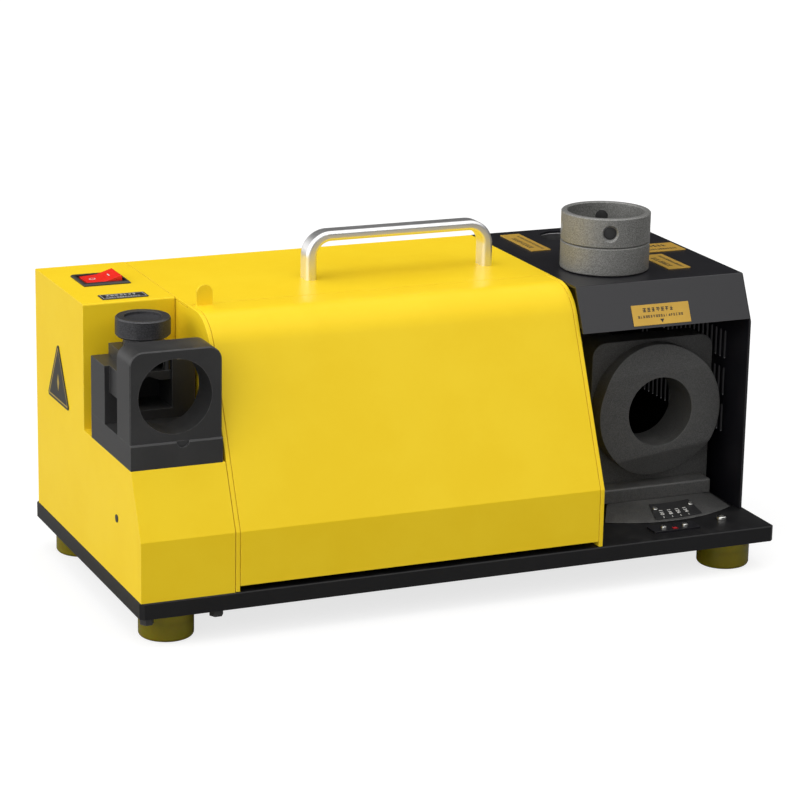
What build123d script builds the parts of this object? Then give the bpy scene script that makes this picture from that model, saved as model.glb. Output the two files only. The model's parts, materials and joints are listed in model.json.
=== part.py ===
from build123d import *
import math
import os

# Bench drill bit sharpener.
# Working frame: x from the left end, y from the front edge, z from the top of the base plate, in mm.
# save() moves every piece to the part's own frame: origin under the middle of the base plate, on the floor.

# Base plate and feet
BASE_LENGTH = 450.0
BASE_DEPTH = 224.6
BASE_THICK = 10.6
FOOT_RADIUS = 17.7
FOOT_HEIGHT = 20.0
FOOT_INSET = 25.0

# Casing profile, shared by the three housings
SHEET = 1.6
FRONT = 0.9
BACK = 220.0
TOP = 163.8
FOLD_Z = 39.4
SLANT = 18.4 / 40.8
BEND_RADIUS = 29.0
SEAM = 0.4

# Left casing with the ledge for the web-thinning station
LEFT_START, LEFT_END = 0.6, 62.5
LEDGE_Z = 80.2
RECESS_Y = 114.6
PANEL_SCREW = (47.6, 41.5)
SWITCH = (15.5, 47.5, 158.8, 188.9)
SWITCH_PLATE = (16.2, 47.2, 121.0, 133.0)
TRIANGLE_SIDE = 47.0
TRIANGLE_BASE = (169.0, 84.5)
INLET = (17.0, 45.0, 40.0, 64.0)

# Middle casing
PANEL_THICK = 2.8
MIDDLE_START = 63.0
MIDDLE_END = 320.1
COVER_REAR = 91.6
COVER_GAP = 3.8

# Right cover
RIGHT_START = 320.5
RIGHT_END = 447.1
RIGHT_FRONT = 40.3
LIP_Z = 135.0
RIGHT_FOLD_Y = 54.0
BEND_LIP = 4.0
VENT_PITCH = 6.25
VENT_FIRST_Y = 71.1
VENT_COUNT = 20
VENT_WIDTH = 2.3
VENT_HEIGHT = 19.7
VENT_ROWS = (47.3, 73.3, 99.4)
LABEL_THICK = 0.5
TOP_LABELS = ((338.0, 353.0, 157.0, 209.0), (410.0, 443.0, 127.0, 150.0), (403.0, 420.0, 78.0, 120.0))
FRONT_LABEL = (358.3, 401.3, 136.6, 149.3)

# Web-thinning station
STATION_X0, STATION_X1 = 0.6, 60.9
SLAB_TOP = 96.5
RING_Y0, RING_Y1 = 20.9, 45.5
REAR_Y0, REAR_Y1 = 71.0, 98.6
RING_TOP = 155.0
REAR_TOP = 134.5
THIN_BORE = (30.2, 125.2)
BORE_RADIUS = 24.0
STATION_BOLTS = [(x, y) for x in (10.5, 50.5) for y in (33.0, 90.0)]
BOLT_HOLE = 3.1
BOLT_REACH = 102.0
KNOB_AT = (30.5, 84.0)
KNOB_RADIUS = 17.8
KNOB_TEETH = 24
SCREW_RADIUS = 5.0
PAD_HALF = 14.7

# Point-angle station
PIVOT = (391.5, 126.9)
POINT_BORE_Z = 69.5
SWIVEL_THICK = 8.0
SWIVEL_RIM_TOP = 75.5
SWIVEL_RIM_BOTTOM = 95.0
SWIVEL_ANGLES = (-30.0, 33.0)
BLOCK_HALF = 46.0
BLOCK_Y0, BLOCK_Y1 = 74.0, 93.0
BLOCK_TOP = 117.5
FLANGE_Y0 = 59.5
FLANGE_TOP = 17.8
CAM_FRONT = 60.0
CAM_RADIUS = 46.0
CAM_CLOCK = 7.5
CAM_BAND = ((24.5, 1), (-28.5, -1))
CAM_SLOPE = 7.0
RING_WALL = 4.0
SCALE_ANGLES = (-8.4, 14.6)
SCALE_RADII = (92.0, 77.5)
SCALE_THICK = 0.8
SCALE_SCREW_RADIUS = 82.5
INDEX_PLATE = (365.5, 400.5, 12.5, 26.0)
INDEX_MARK = (380.4, 383.6, 14.0, 17.0)
INDEX_THICK = 1.4

# Chuck and its port
PORT = (364.5, 99.0)
CHUCK_RADIUS = 30.25
RING_HEIGHT = 20.0
NOSE_RADIUS = 23.95
SMALL_PORT = (380.0, 196.0)
SMALL_PORT_RADIUS = 15.0

# Spindle and motor
SPINDLE_Y, SPINDLE_Z = 152.0, 72.0
SPINDLE_RADIUS = 9.0
WHEEL_RADIUS = 48.0
MOTOR_X0, MOTOR_X1 = 128.0, 276.0
MOTOR_RADIUS = 56.0
BEARING_RADIUS = 17.5
POINT_WHEEL_RIM = (350.0, 368.0)
CONE_TIP = 22.0
CONE_ANGLE = 59.0

# Handle
HANDLE_X = (162.6, 290.6)
HANDLE_Y = 134.0
HANDLE_HEIGHT = 32.2
HANDLE_DEPTH = 13.5
HANDLE_LEG = 7.6
HANDLE_BEND = 17.5

to_part_frame = Pos(-BASE_LENGTH / 2, -BASE_DEPTH / 2, FOOT_HEIGHT + BASE_THICK)


def save(name, shape):
    os.makedirs("parts", exist_ok=True)
    export_step(to_part_frame * shape, f"parts/{name}.step")


def block(x0, x1, y0, y1, z0, z1):
    """Box between two corners."""
    return Pos((x0 + x1) / 2, (y0 + y1) / 2, (z0 + z1) / 2) * Box(x1 - x0, y1 - y0, z1 - z0)


def post(x, y, z0, z1, radius):
    """Upright cylinder."""
    return Pos(x, y, (z0 + z1) / 2) * Cylinder(radius, z1 - z0)


def cross_bar(y, z, x0, x1, radius):
    """Cylinder along x."""
    return Pos((x0 + x1) / 2, y, z) * Rot(0, 90, 0) * Cylinder(radius, x1 - x0)


def reach_bar(x, z, y0, y1, radius):
    """Cylinder along y."""
    return Pos(x, (y0 + y1) / 2, z) * Rot(90, 0, 0) * Cylinder(radius, y1 - y0)


def profile(points, x0, x1):
    """Closed outline in y and z, extruded along x."""
    face = make_face(Polyline(*points, close=True))
    return extrude(Plane.YZ.offset(x0) * face, x1 - x0)


def bent_sheet(points, radii, x0, x1, thick, side):
    """Folded sheet that follows an open line in y and z, on the given side of it."""
    line = FilletPolyline(*points, radius=radii)
    band = offset(line, amount=thick, side=side)
    return extrude(Plane.YZ.offset(x0) * make_face(band), x1 - x0)


def screw(x, y, z, head_radius, head_height, shank_radius, shank_length, hexagon=False):
    """Screw with its head above z and its shank below."""
    if hexagon:
        head = Pos(x, y, z) * extrude(RegularPolygon(head_radius, 6), head_height)
    else:
        head = post(x, y, z, z + head_height, head_radius)
        head = chamfer(head.edges().group_by(Axis.Z)[-1], head_radius * 0.15)
        head -= Pos(x, y, z + head_height) * extrude(RegularPolygon(head_radius * 0.5, 6), -head_height * 0.6)
    return head + post(x, y, z - shank_length, z, shank_radius)


def group(solids):
    return Compound(children=list(solids))


# --- base -----------------------------------------------------------------------------------------
FOOT_PLACES = [(x, y) for x in (FOOT_INSET, BASE_LENGTH - FOOT_INSET)
               for y in (FOOT_INSET, BASE_DEPTH - FOOT_INSET)]
CASING_BOLTS = [(5.8, 5.4), (51.5, 5.4)]
CRADLE_BOLTS = [(x, y) for x in (150.0, 254.0) for y in (108.0, 196.0)]
INDEX_SCREWS = [(375.0, 18.8), (391.1, 18.8)]
BASE_SCREW = (422.8, 25.4)


def make_base():
    plate = block(0, BASE_LENGTH, 0, BASE_DEPTH, -BASE_THICK, 0)
    plate = chamfer(plate.edges().filter_by(Axis.Z), 2.5)
    plate = chamfer(plate.edges().group_by(Axis.Z)[-1], 0.6)
    for x, y in FOOT_PLACES:
        plate -= post(x, y, -BASE_THICK, -BASE_THICK + 8, 3.0)
    for x, y in CRADLE_BOLTS:
        plate -= post(x, y, -9, 0, 3.0)
    for x, y in INDEX_SCREWS:
        plate -= post(x, y, -5, 0, 1.25)
    for x, y in CASING_BOLTS:
        plate -= post(x, y, -BASE_THICK, -2, 2.5)
    plate -= post(*BASE_SCREW, -2.2, 0, 2.0)
    plate -= post(*PIVOT, -8, 0, 6.0)
    save("base_plate", plate)

    feet = []
    foot_screws = []
    for x, y in FOOT_PLACES:
        foot = post(x, y, -BASE_THICK - FOOT_HEIGHT, -BASE_THICK, FOOT_RADIUS)
        foot = fillet(foot.edges().group_by(Axis.Z)[0], 2.5)
        foot = chamfer(foot.edges().group_by(Axis.Z)[-1], 0.8)
        foot -= post(x, y, -BASE_THICK - FOOT_HEIGHT, -BASE_THICK, 3.3)
        foot -= post(x, y, -BASE_THICK - FOOT_HEIGHT, -BASE_THICK - FOOT_HEIGHT + 9, 6.0)
        feet.append(foot)
        head_z = -BASE_THICK - FOOT_HEIGHT + 9
        head = post(x, y, head_z - 5, head_z, 5.0)
        head -= Pos(x, y, head_z - 5) * extrude(RegularPolygon(2.9, 6), 3)
        foot_screws.append(head + post(x, y, head_z, -BASE_THICK + 7, 2.95))
    save("feet", group(feet))

    bolts = []
    for x, y in CASING_BOLTS:
        head = Pos(x, y, -BASE_THICK) * extrude(RegularPolygon(4.6, 6), -4.2)
        bolts.append(head + post(x, y, -BASE_THICK, -2.5, 2.45))
    save("underside_screws", group(foot_screws + bolts))
    save("base_screw", screw(*BASE_SCREW, 0, 3.6, 2.4, 1.95, 2.0))


# --- left casing ----------------------------------------------------------------------------------
def make_left_casing():
    ledge_front = FRONT + (LEDGE_Z - FOLD_Z) * SLANT
    outline = [(FRONT, 0), (FRONT, FOLD_Z), (ledge_front, LEDGE_Z), (RECESS_Y, LEDGE_Z),
               (RECESS_Y, TOP), (BACK, TOP), (BACK, 0)]
    outer = profile(outline, LEFT_START, LEFT_END)
    long_edges = outer.edges().filter_by(Axis.X).filter_by(lambda e: e.center().Z > 1)
    outer = fillet(long_edges, 1.4)
    inner_face = offset(make_face(Polyline(*outline, close=True)), -SHEET)
    inner = extrude(Plane.YZ.offset(LEFT_START + SHEET) * inner_face, LEFT_END)
    inner += block(LEFT_START + SHEET, LEFT_END + 5, FRONT + SHEET, BACK - SHEET, -5, SHEET + 2)
    casing = outer - inner
    casing -= block(SWITCH[0] + 2, SWITCH[1] - 2, SWITCH[2] + 2, SWITCH[3] - 2, TOP - 5, TOP + 5)
    casing -= block(26, 35, 99.5, 118, LEDGE_Z - 4, 110)
    casing -= block(INLET[0] + 1.5, INLET[1] - 1.5, BACK - 5, BACK + 5, INLET[2] + 1.5, INLET[3] - 1.5)
    casing -= cross_bar(*PANEL_SCREW, -2, 4, 1.6)
    for x, y in STATION_BOLTS:
        casing -= post(x, y, LEDGE_Z - 5, LEDGE_Z + 1, BOLT_HOLE)
    end_zone = block(LEFT_START, LEFT_START + SHEET, 0, BASE_DEPTH, 0, TOP + 1)
    save("left_casing", casing - end_zone)
    save("left_end_panel", casing & end_zone)

    x0, x1 = LEFT_START + SHEET + 0.3, 59.5
    leg = 2.2
    shelf = block(x0, x1, 24, 96, LEDGE_Z - SHEET - 6, LEDGE_Z - SHEET)
    shelf += block(x0, x0 + leg, 24, 96, 0, LEDGE_Z - SHEET - 6)
    shelf += block(x1 - leg, x1, 24, 96, 0, LEDGE_Z - SHEET - 6)
    shelf -= cross_bar(*PANEL_SCREW, x0 - 1, x0 + leg + 1, 1.55)
    for x, y in STATION_BOLTS:
        shelf -= post(x, y, LEDGE_Z - 10, LEDGE_Z, BOLT_HOLE)
    save("ledge_bracket", shelf)

    x0, x1, y0, y1 = SWITCH
    bezel = block(x0, x1, y0, y1, TOP, TOP + 1.6)
    bezel = chamfer(bezel.edges().group_by(Axis.Z)[-1], 0.9)
    bezel += block(x0 + 2.3, x1 - 2.3, y0 + 2.3, y1 - 2.3, TOP - 22, TOP)
    bezel -= block(x0 + 4, x1 - 4, y0 + 4, y1 - 4, TOP - 14, TOP + 3)
    bezel -= block(x0 + 2.2, x1 - 2.2, y0 + 4, y1 - 4, TOP - 2.5, TOP + 3)
    save("switch_bezel", bezel)

    middle_x, middle_y = (x0 + x1) / 2, (y0 + y1) / 2
    half = (x1 - x0) / 2 - 4.5
    crown = [(-half, -1.0), (-half, 0.9), (0, 1.6), (half, 5.2), (half, 1.0), (4, -5), (-4, -5)]
    face = make_face(Polyline(*[(middle_x + a, TOP + b) for a, b in crown], close=True))
    width = y1 - y0 - 9.2
    rocker = extrude(Plane.XZ.offset(-(middle_y + width / 2)) * face, width)
    rocker = fillet(rocker.edges().filter_by(Axis.Y).group_by(Axis.Z)[-1], 0.8)
    rocker += reach_bar(middle_x, TOP - 4, middle_y - width / 2, middle_y + width / 2, 1.6)
    save("switch_rocker", rocker)

    plate = block(*SWITCH_PLATE, TOP, TOP + 0.6)
    save("switch_plate", fillet(plate.edges().filter_by(Axis.Z), 1.0))

    y, z = TRIANGLE_BASE
    apex = (y, z + TRIANGLE_SIDE * math.sqrt(3) / 2)
    corners = [(y - TRIANGLE_SIDE / 2, z), (y + TRIANGLE_SIDE / 2, z), apex]
    triangle = profile(corners, 0.0, LEFT_START)
    save("side_plate", fillet(triangle.edges().filter_by(Axis.X), 2.0))

    head = cross_bar(*PANEL_SCREW, 0.1, LEFT_START, 2.6)
    save("panel_screw", head + cross_bar(*PANEL_SCREW, LEFT_START, 6, 1.5))

    face_plate = block(INLET[0], INLET[1], BACK, BACK + 2, INLET[2], INLET[3])
    face_plate = fillet(face_plate.edges().filter_by(Axis.Y), 2.0)
    shell = block(INLET[0] + 1.8, INLET[1] - 1.8, BACK - 20, BACK, INLET[2] + 1.8, INLET[3] - 1.8)
    cavity = block(INLET[0] + 3.6, INLET[1] - 3.6, BACK - 16, BACK + 3, INLET[2] + 3.6, INLET[3] - 3.6)
    cavity = chamfer(cavity.edges().filter_by(Axis.Y).group_by(Axis.Z)[-1], 3.5)
    inlet = face_plate + shell - cavity
    pin_x = (INLET[0] + INLET[1]) / 2
    pin_z = (INLET[2] + INLET[3]) / 2
    for dx, dz in ((-6.5, -2), (6.5, -2), (0, 2)):
        x, z = pin_x + dx, pin_z + dz
        inlet += block(x - 1, x + 1, BACK - 17, BACK - 4, z - 1.7, z + 1.7)
    save("power_inlet", inlet)


# --- middle casing --------------------------------------------------------------------------------
def make_middle_casing():
    shell = bent_sheet([(COVER_REAR + SEAM, TOP), (BACK, TOP), (BACK, 0)], [2.0],
                       MIDDLE_START, MIDDLE_END, SHEET, Side.RIGHT)
    for x in HANDLE_X:
        shell -= post(x, HANDLE_Y, TOP - 5, TOP + 1, 2.7)
    save("main_casing", shell)

    slant_top = FRONT + (TOP - FOLD_Z) * SLANT
    panel_line = FilletPolyline((FRONT, 0.2), (FRONT, FOLD_Z), (slant_top, TOP), (COVER_REAR, TOP),
                                radius=[2.0, BEND_RADIUS])
    under = TOP - SHEET - SEAM
    rear = BACK - SHEET - 0.2
    closing = Polyline((COVER_REAR, TOP), (COVER_REAR, under), (rear, under), (rear, 0.2), (FRONT, 0.2))
    panel_face = make_face(panel_line.edges() + closing.edges())
    for name, x0 in (("left_side_panel", MIDDLE_START), ("right_side_panel", MIDDLE_END - PANEL_THICK)):
        panel = extrude(Plane.YZ.offset(x0) * panel_face, PANEL_THICK)
        panel -= cross_bar(SPINDLE_Y, SPINDLE_Z, x0 - 1, x0 + PANEL_THICK + 1, 22)
        save(name, panel)

    x0 = MIDDLE_START + PANEL_THICK + 0.3
    x1 = MIDDLE_END - PANEL_THICK - 0.3
    cover = bent_sheet([(FRONT, COVER_GAP), (FRONT, FOLD_Z), (slant_top, TOP), (COVER_REAR, TOP)],
                       [2.0, BEND_RADIUS], x0, x1, SHEET, Side.RIGHT)
    tab = block(67.6, 78.5, COVER_REAR - 4.4, COVER_REAR - 2.8, TOP - 0.5, TOP + 13.5)
    tab = fillet(tab.edges().filter_by(Axis.Y).group_by(Axis.Z)[-1], 5.3)
    cover += tab
    save("front_cover", cover)

    z1 = TOP + HANDLE_HEIGHT
    depth = HANDLE_DEPTH
    leg = HANDLE_LEG
    y0, y1 = HANDLE_Y - depth / 2, HANDLE_Y + depth / 2
    outer = block(HANDLE_X[0] - leg / 2, HANDLE_X[1] + leg / 2, y0, y1, TOP, z1)
    outer = fillet(outer.edges().filter_by(Axis.Y).group_by(Axis.Z)[-1], HANDLE_BEND)
    inner = block(HANDLE_X[0] + leg / 2, HANDLE_X[1] - leg / 2, y0 - 1, y1 + 1, TOP - 1, z1 - leg * 0.9)
    inner = fillet(inner.edges().filter_by(Axis.Y).group_by(Axis.Z)[-1], HANDLE_BEND - 7.0)
    handle = outer - inner
    front_edges = handle.edges().filter_by(lambda e: e.center().Z > TOP + 0.1)
    front_edges = front_edges.filter_by(lambda e: abs(abs(e.center().Y - HANDLE_Y) - depth / 2) < 0.01)
    handle = fillet(front_edges, 2.6)
    for x in HANDLE_X:
        handle -= post(x, HANDLE_Y, TOP, TOP + 14, 2.45)
    save("handle", handle)
    screws = []
    for x in HANDLE_X:
        head = post(x, HANDLE_Y, TOP - SHEET - 3, TOP - SHEET, 4.6)
        screws.append(head + post(x, HANDLE_Y, TOP - SHEET, TOP + 12, 2.4))
    save("handle_screws", group(screws))


# --- right cover ----------------------------------------------------------------------------------
def on_slope(x0, x1, z0, z1, thick):
    """Thin plate lying on the sloped front face of the right cover."""
    run = RIGHT_FOLD_Y - RIGHT_FRONT
    rise = TOP - LIP_Z
    length = math.hypot(run, rise)
    out = (-rise / length, run / length)
    low = (RIGHT_FRONT + (z0 - LIP_Z) * run / rise, z0)
    high = (RIGHT_FRONT + (z1 - LIP_Z) * run / rise, z1)
    lifted = [(y + out[0] * thick, z + out[1] * thick) for y, z in (high, low)]
    return profile([low, high] + lifted, x0, x1)


def make_right_cover():
    outline = [(RIGHT_FRONT, 0.2), (RIGHT_FRONT, LIP_Z), (RIGHT_FOLD_Y, TOP), (BACK, TOP), (BACK, 0.2)]
    outer = profile(outline, RIGHT_START, RIGHT_END)
    bends = outer.edges().filter_by(Axis.X).filter_by(lambda e: e.center().Z > LIP_Z + 1)
    outer = fillet(bends, 1.4)
    end_edges = outer.edges().group_by(Axis.X)[-1]
    end_edges = end_edges.filter_by(lambda e: e.center().Z > LIP_Z and e.center().Y > RIGHT_FRONT + 1)
    outer = fillet(end_edges, 1.2)
    inner_face = offset(make_face(Polyline(*outline, close=True)), -SHEET)
    inner = extrude(Plane.YZ.offset(RIGHT_START - 1) * inner_face, RIGHT_END - RIGHT_START + 1 - SHEET)
    inner += block(RIGHT_START - 1, RIGHT_END - SHEET, RIGHT_FRONT + SHEET, BACK - SHEET, -5, SHEET + 3)
    cover = outer - inner
    cover -= block(RIGHT_START - 1, RIGHT_END - SHEET, RIGHT_FRONT - 1, RIGHT_FRONT + SHEET + 0.2, -1, LIP_Z)
    slots = []
    slot_face = SlotOverall(VENT_HEIGHT, VENT_WIDTH, rotation=90)
    for z0 in VENT_ROWS:
        for i in range(VENT_COUNT):
            slot = extrude(Plane.YZ.offset(RIGHT_END - 4) * slot_face, 8)
            slots.append(Pos(0, VENT_FIRST_Y + i * VENT_PITCH, z0 + VENT_HEIGHT / 2) * slot)
    cover -= slots
    cover -= post(*PORT, TOP - 5, TOP + 2, BORE_RADIUS + 0.6)
    cover -= post(*SMALL_PORT, TOP - 5, TOP + 2, SMALL_PORT_RADIUS + 0.4)
    end_zone = block(RIGHT_END - SHEET, RIGHT_END, 0, BASE_DEPTH, 0, TOP + 1)
    save("right_end_panel", cover & end_zone)
    folded = cover - end_zone
    save("right_slope", folded & block(0, BASE_LENGTH, 0, PORT[1], 0, TOP - BEND_LIP))
    save("right_back_panel", folded & block(0, BASE_LENGTH, PORT[1], BASE_DEPTH, 0, TOP - BEND_LIP))
    save("right_cover", folded & block(0, BASE_LENGTH, 0, BASE_DEPTH, TOP - BEND_LIP, TOP + 1))

    under = TOP - SHEET
    sleeve = post(*PORT, 126.5, under, 28.5) - post(*PORT, 130, TOP, BORE_RADIUS)
    sleeve -= post(*PORT, 120, 131, 3.0)
    save("chuck_port_sleeve", sleeve)
    small = post(*SMALL_PORT, 121, under, 18.0) - post(*SMALL_PORT, 110, TOP, SMALL_PORT_RADIUS)
    save("small_port_sleeve", small)

    plates = []
    for corners in TOP_LABELS:
        plate = block(*corners, TOP, TOP + LABEL_THICK)
        plates.append(fillet(plate.edges().filter_by(Axis.Z), 0.8))
    plates.append(on_slope(*FRONT_LABEL, LABEL_THICK))
    save("label_plates", group(plates))


# --- web-thinning station -------------------------------------------------------------------------
PASSAGE_TOP = 137.0
BOSS_TOP = 141.8


def make_thinning_station():
    slab = block(STATION_X0, STATION_X1, RING_Y0 - 1.3, REAR_Y1, LEDGE_Z, SLAB_TOP)
    slab = chamfer(slab.edges().filter_by(Axis.X).group_by(Axis.Y)[0].group_by(Axis.Z)[-1], 1.0)
    slab -= reach_bar(34.8, SLAB_TOP, RING_Y0 - 3, RING_Y0, 4.2)
    for x, y in STATION_BOLTS:
        slab -= post(x, y, LEDGE_Z - 1, SLAB_TOP + 1, BOLT_HOLE)
    save("thinning_slab", slab)

    ring = block(STATION_X0, STATION_X1, RING_Y0, RING_Y1, SLAB_TOP, RING_TOP)
    ring = fillet(ring.edges().filter_by(Axis.Y).group_by(Axis.Z)[-1], 9.0)
    ring = chamfer(ring.edges().group_by(Axis.Y)[0].filter_by(lambda e: e.center().Z > SLAB_TOP + 1), 0.7)
    ring -= reach_bar(*THIN_BORE, RING_Y0 - 1, RING_Y1 + 1, BORE_RADIUS)
    ring -= post(THIN_BORE[0], 38.0, 140, 153, 2.0)
    for x, y in STATION_BOLTS:
        ring -= post(x, y, SLAB_TOP - 1, BOLT_REACH, BOLT_HOLE)
    save("thinning_ring_plate", ring)
    save("locating_pin", post(THIN_BORE[0], 38.0, 138.0, 153, 1.98))

    wall = block(STATION_X0, STATION_X1, REAR_Y0, REAR_Y1, SLAB_TOP, REAR_TOP)
    wall += block(12.3, 48.7, REAR_Y0, REAR_Y1, REAR_TOP - 1, BOSS_TOP)
    wall = chamfer(wall.edges().filter_by(Axis.X).group_by(Axis.Z)[-1], 0.6)
    wall += block(4.0, 12.0, RING_Y1, REAR_Y0, 117.0, REAR_TOP)
    wall -= block(KNOB_AT[0] - 15, KNOB_AT[0] + 15, REAR_Y0 - 1, REAR_Y1 + 1, 103, PASSAGE_TOP)
    wall -= post(*KNOB_AT, 130, BOSS_TOP + 1, SCREW_RADIUS + 0.06)
    for x, y in STATION_BOLTS:
        wall -= post(x, y, SLAB_TOP - 1, BOLT_REACH, BOLT_HOLE)
    save("thinning_rear_wall", wall)

    pad = block(KNOB_AT[0] - PAD_HALF, KNOB_AT[0] + PAD_HALF, REAR_Y0 + 1.5, REAR_Y1 - 1.5, 121.5, 127.5)
    x = KNOB_AT[0]
    vee = make_face(Polyline((x - 9, 121.0), (x + 9, 121.0), (x, 124.4), close=True))
    pad -= extrude(Plane.XZ.offset(-REAR_Y1) * vee, REAR_Y1 - REAR_Y0)
    pad -= post(*KNOB_AT, 125.0, 128, 3.06)
    save("steady_pad", pad)

    stem = post(*KNOB_AT, 127.6, 149.0, SCREW_RADIUS)
    stem += post(*KNOB_AT, 125.1, 127.6, 3.0)
    stem += post(*KNOB_AT, BOSS_TOP + 0.4, 149.0, 12.8)
    save("steady_screw", stem)
    knob = post(*KNOB_AT, 149.0, 161.5, KNOB_RADIUS)
    knob = chamfer(knob.edges().group_by(Axis.Z)[0], 1.2)
    knob = chamfer(knob.edges().group_by(Axis.Z)[-1], 1.0)
    knob -= post(*KNOB_AT, 159.5, 162, 12.0)
    knob -= post(*KNOB_AT, 148, 153, 4.0)
    notch = post(KNOB_RADIUS + 0.6, 0, 148, 162, 1.3)
    knob -= [Pos(*KNOB_AT, 0) * Rot(0, 0, i * 360 / KNOB_TEETH) * notch for i in range(KNOB_TEETH)]
    save("steady_knob", knob)

    under = LEDGE_Z - SHEET - 6
    bolts = []
    for x, y in STATION_BOLTS:
        head = Pos(x, y, under) * extrude(RegularPolygon(5.5, 6), -4)
        bolts.append(head + post(x, y, under, BOLT_REACH - 0.5, BOLT_HOLE - 0.1))
    save("station_bolts", group(bolts))


# --- point-angle station --------------------------------------------------------------------------
def swung(radius, angle):
    """Point at a radius from the pivot; the angle is from the front, positive to the right."""
    a = math.radians(angle)
    return (PIVOT[0] + radius * math.sin(a), PIVOT[1] - radius * math.cos(a))


def sector(radius, a0, a1, hub):
    """Flat sector about the pivot, joined to a round hub."""
    ends = swung(radius, a0), swung(radius, a1)
    arc = ThreePointArc(ends[0], swung(radius, (a0 + a1) / 2), ends[1])
    wedge = make_face(arc.edges() + Polyline(ends[1], PIVOT, ends[0]).edges())
    return wedge + Pos(*PIVOT) * Circle(hub)


def cone_strip(low, high, a0, a1, thick):
    """Strip on the bevelled rim of the swivel base, between two angles from the front."""
    run = low[0] - high[0]
    rise = high[1] - low[1]
    length = math.hypot(run, rise)
    lifted = [(r + rise / length * thick, z + run / length * thick) for r, z in (high, low)]
    face = make_face(Polyline(low, high, *lifted, close=True))
    strip = revolve(Plane.XZ * face, Axis.Z, a1 - a0)
    return Pos(*PIVOT, 0) * Rot(0, 0, -90 + a0) * strip


def rim_point(angle, radius):
    """Point on the bevelled rim."""
    z = SWIVEL_THICK * (SWIVEL_RIM_BOTTOM - radius) / (SWIVEL_RIM_BOTTOM - SWIVEL_RIM_TOP)
    return (*swung(radius, angle), z)


def make_point_station():
    a0, a1 = SWIVEL_ANGLES
    gap = 0.3
    base = extrude(Pos(0, 0, gap) * sector(SWIVEL_RIM_BOTTOM, a0, a1, 24.0), SWIVEL_THICK - gap)
    bevel_tool = Polyline((SWIVEL_RIM_BOTTOM, 0), (SWIVEL_RIM_TOP, SWIVEL_THICK),
                          (SWIVEL_RIM_TOP, SWIVEL_THICK + 5), (SWIVEL_RIM_BOTTOM + 9, SWIVEL_THICK + 5),
                          (SWIVEL_RIM_BOTTOM + 9, 0), close=True)
    base -= Pos(*PIVOT, 0) * revolve(Plane.XZ * make_face(bevel_tool), Axis.Z, 360)
    base -= post(*PIVOT, -1, 20, 6.05)
    save("swivel_base", base)

    x0, x1 = PIVOT[0] - BLOCK_HALF, PIVOT[0] + BLOCK_HALF
    body = block(x0, x1, BLOCK_Y0, BLOCK_Y1, SWIVEL_THICK, BLOCK_TOP)
    body = fillet(body.edges().filter_by(Axis.Y).group_by(Axis.Z)[-1], 10.0)
    body -= reach_bar(PIVOT[0], POINT_BORE_Z, BLOCK_Y0 - 1, BLOCK_Y1 + 1, BORE_RADIUS + RING_WALL)
    save("station_block", body)
    foot = block(x0, x1 - 5, FLANGE_Y0, BLOCK_Y0, SWIVEL_THICK, FLANGE_TOP)
    foot = chamfer(foot.edges().filter_by(Axis.X).group_by(Axis.Y)[0].group_by(Axis.Z)[-1], 1.0)
    save("station_foot", foot)

    cam = reach_bar(PIVOT[0], POINT_BORE_Z, CAM_FRONT, BLOCK_Y0, CAM_RADIUS)
    cam += reach_bar(PIVOT[0], POINT_BORE_Z, BLOCK_Y0, BLOCK_Y1 - 1, BORE_RADIUS + RING_WALL)
    wedges = []
    for edge, sign in CAM_BAND:
        rim = CAM_RADIUS + 2
        rise = sign * (rim - abs(edge))
        tri = make_face(Polyline((CAM_FRONT, edge), (CAM_FRONT - 2, edge), (CAM_FRONT - 2, edge + rise),
                                 (CAM_FRONT + CAM_SLOPE, edge + rise), close=True))
        wedges.append(extrude(Plane.YZ.offset(-rim) * tri, 2 * rim))
    cutters = [Pos(PIVOT[0], 0, POINT_BORE_Z) * Rot(0, -CAM_CLOCK, 0) * wedge for wedge in wedges]
    cam -= cutters
    cam -= reach_bar(PIVOT[0], POINT_BORE_Z, CAM_FRONT - 1, BLOCK_Y1 + 1, BORE_RADIUS)
    save("cam_ring", cam)

    b0, b1 = SCALE_ANGLES
    low, high = [(r, rim_point(0, r)[2]) for r in SCALE_RADII]
    save("angle_scale", cone_strip(low, high, b0, b1, SCALE_THICK))
    tilt = math.degrees(math.atan2(SWIVEL_THICK, SWIVEL_RIM_BOTTOM - SWIVEL_RIM_TOP))
    heads = []
    for angle in (b0 + 1.8, b1 - 1.8):
        x, y, z = rim_point(angle, SCALE_SCREW_RADIUS)
        head = Pos(0, 0, 1.4) * Cylinder(1.9, 1.2)
        head = chamfer(head.edges().group_by(Axis.Z)[-1], 0.4)
        heads.append(Pos(x, y, z) * Rot(0, 0, angle) * Rot(tilt, 0, 0) * head)
    save("scale_screws", group(heads))

    bolt = post(*PIVOT, SWIVEL_THICK + 0.3, SWIVEL_THICK + 5.3, 10.0)
    bolt = chamfer(bolt.edges().group_by(Axis.Z)[-1], 0.8)
    bolt -= Pos(*PIVOT, SWIVEL_THICK + 5.3) * extrude(RegularPolygon(4, 6), -3.5)
    bolt += post(*PIVOT, -7.5, SWIVEL_THICK + 0.3, 5.98)
    save("pivot_bolt", bolt)

    plate = block(*INDEX_PLATE, 0, INDEX_THICK)
    plate = fillet(plate.edges().filter_by(Axis.Z), 1.5)
    for x, y in INDEX_SCREWS:
        plate -= post(x, y, -1, INDEX_THICK + 1, 1.25)
    save("index_plate", plate)
    save("index_mark", block(*INDEX_MARK, INDEX_THICK, INDEX_THICK + 0.3))
    screws = [screw(x, y, INDEX_THICK, 2.2, 1.3, 1.2, 5) for x, y in INDEX_SCREWS]
    save("index_screws", group(screws))


# --- chuck ----------------------------------------------------------------------------------------
SEAT_LOW = (140.0, 15.2)
SEAT_HIGH = (174.0, 20.0)
COLLET_RADIUS = 10.0


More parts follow.
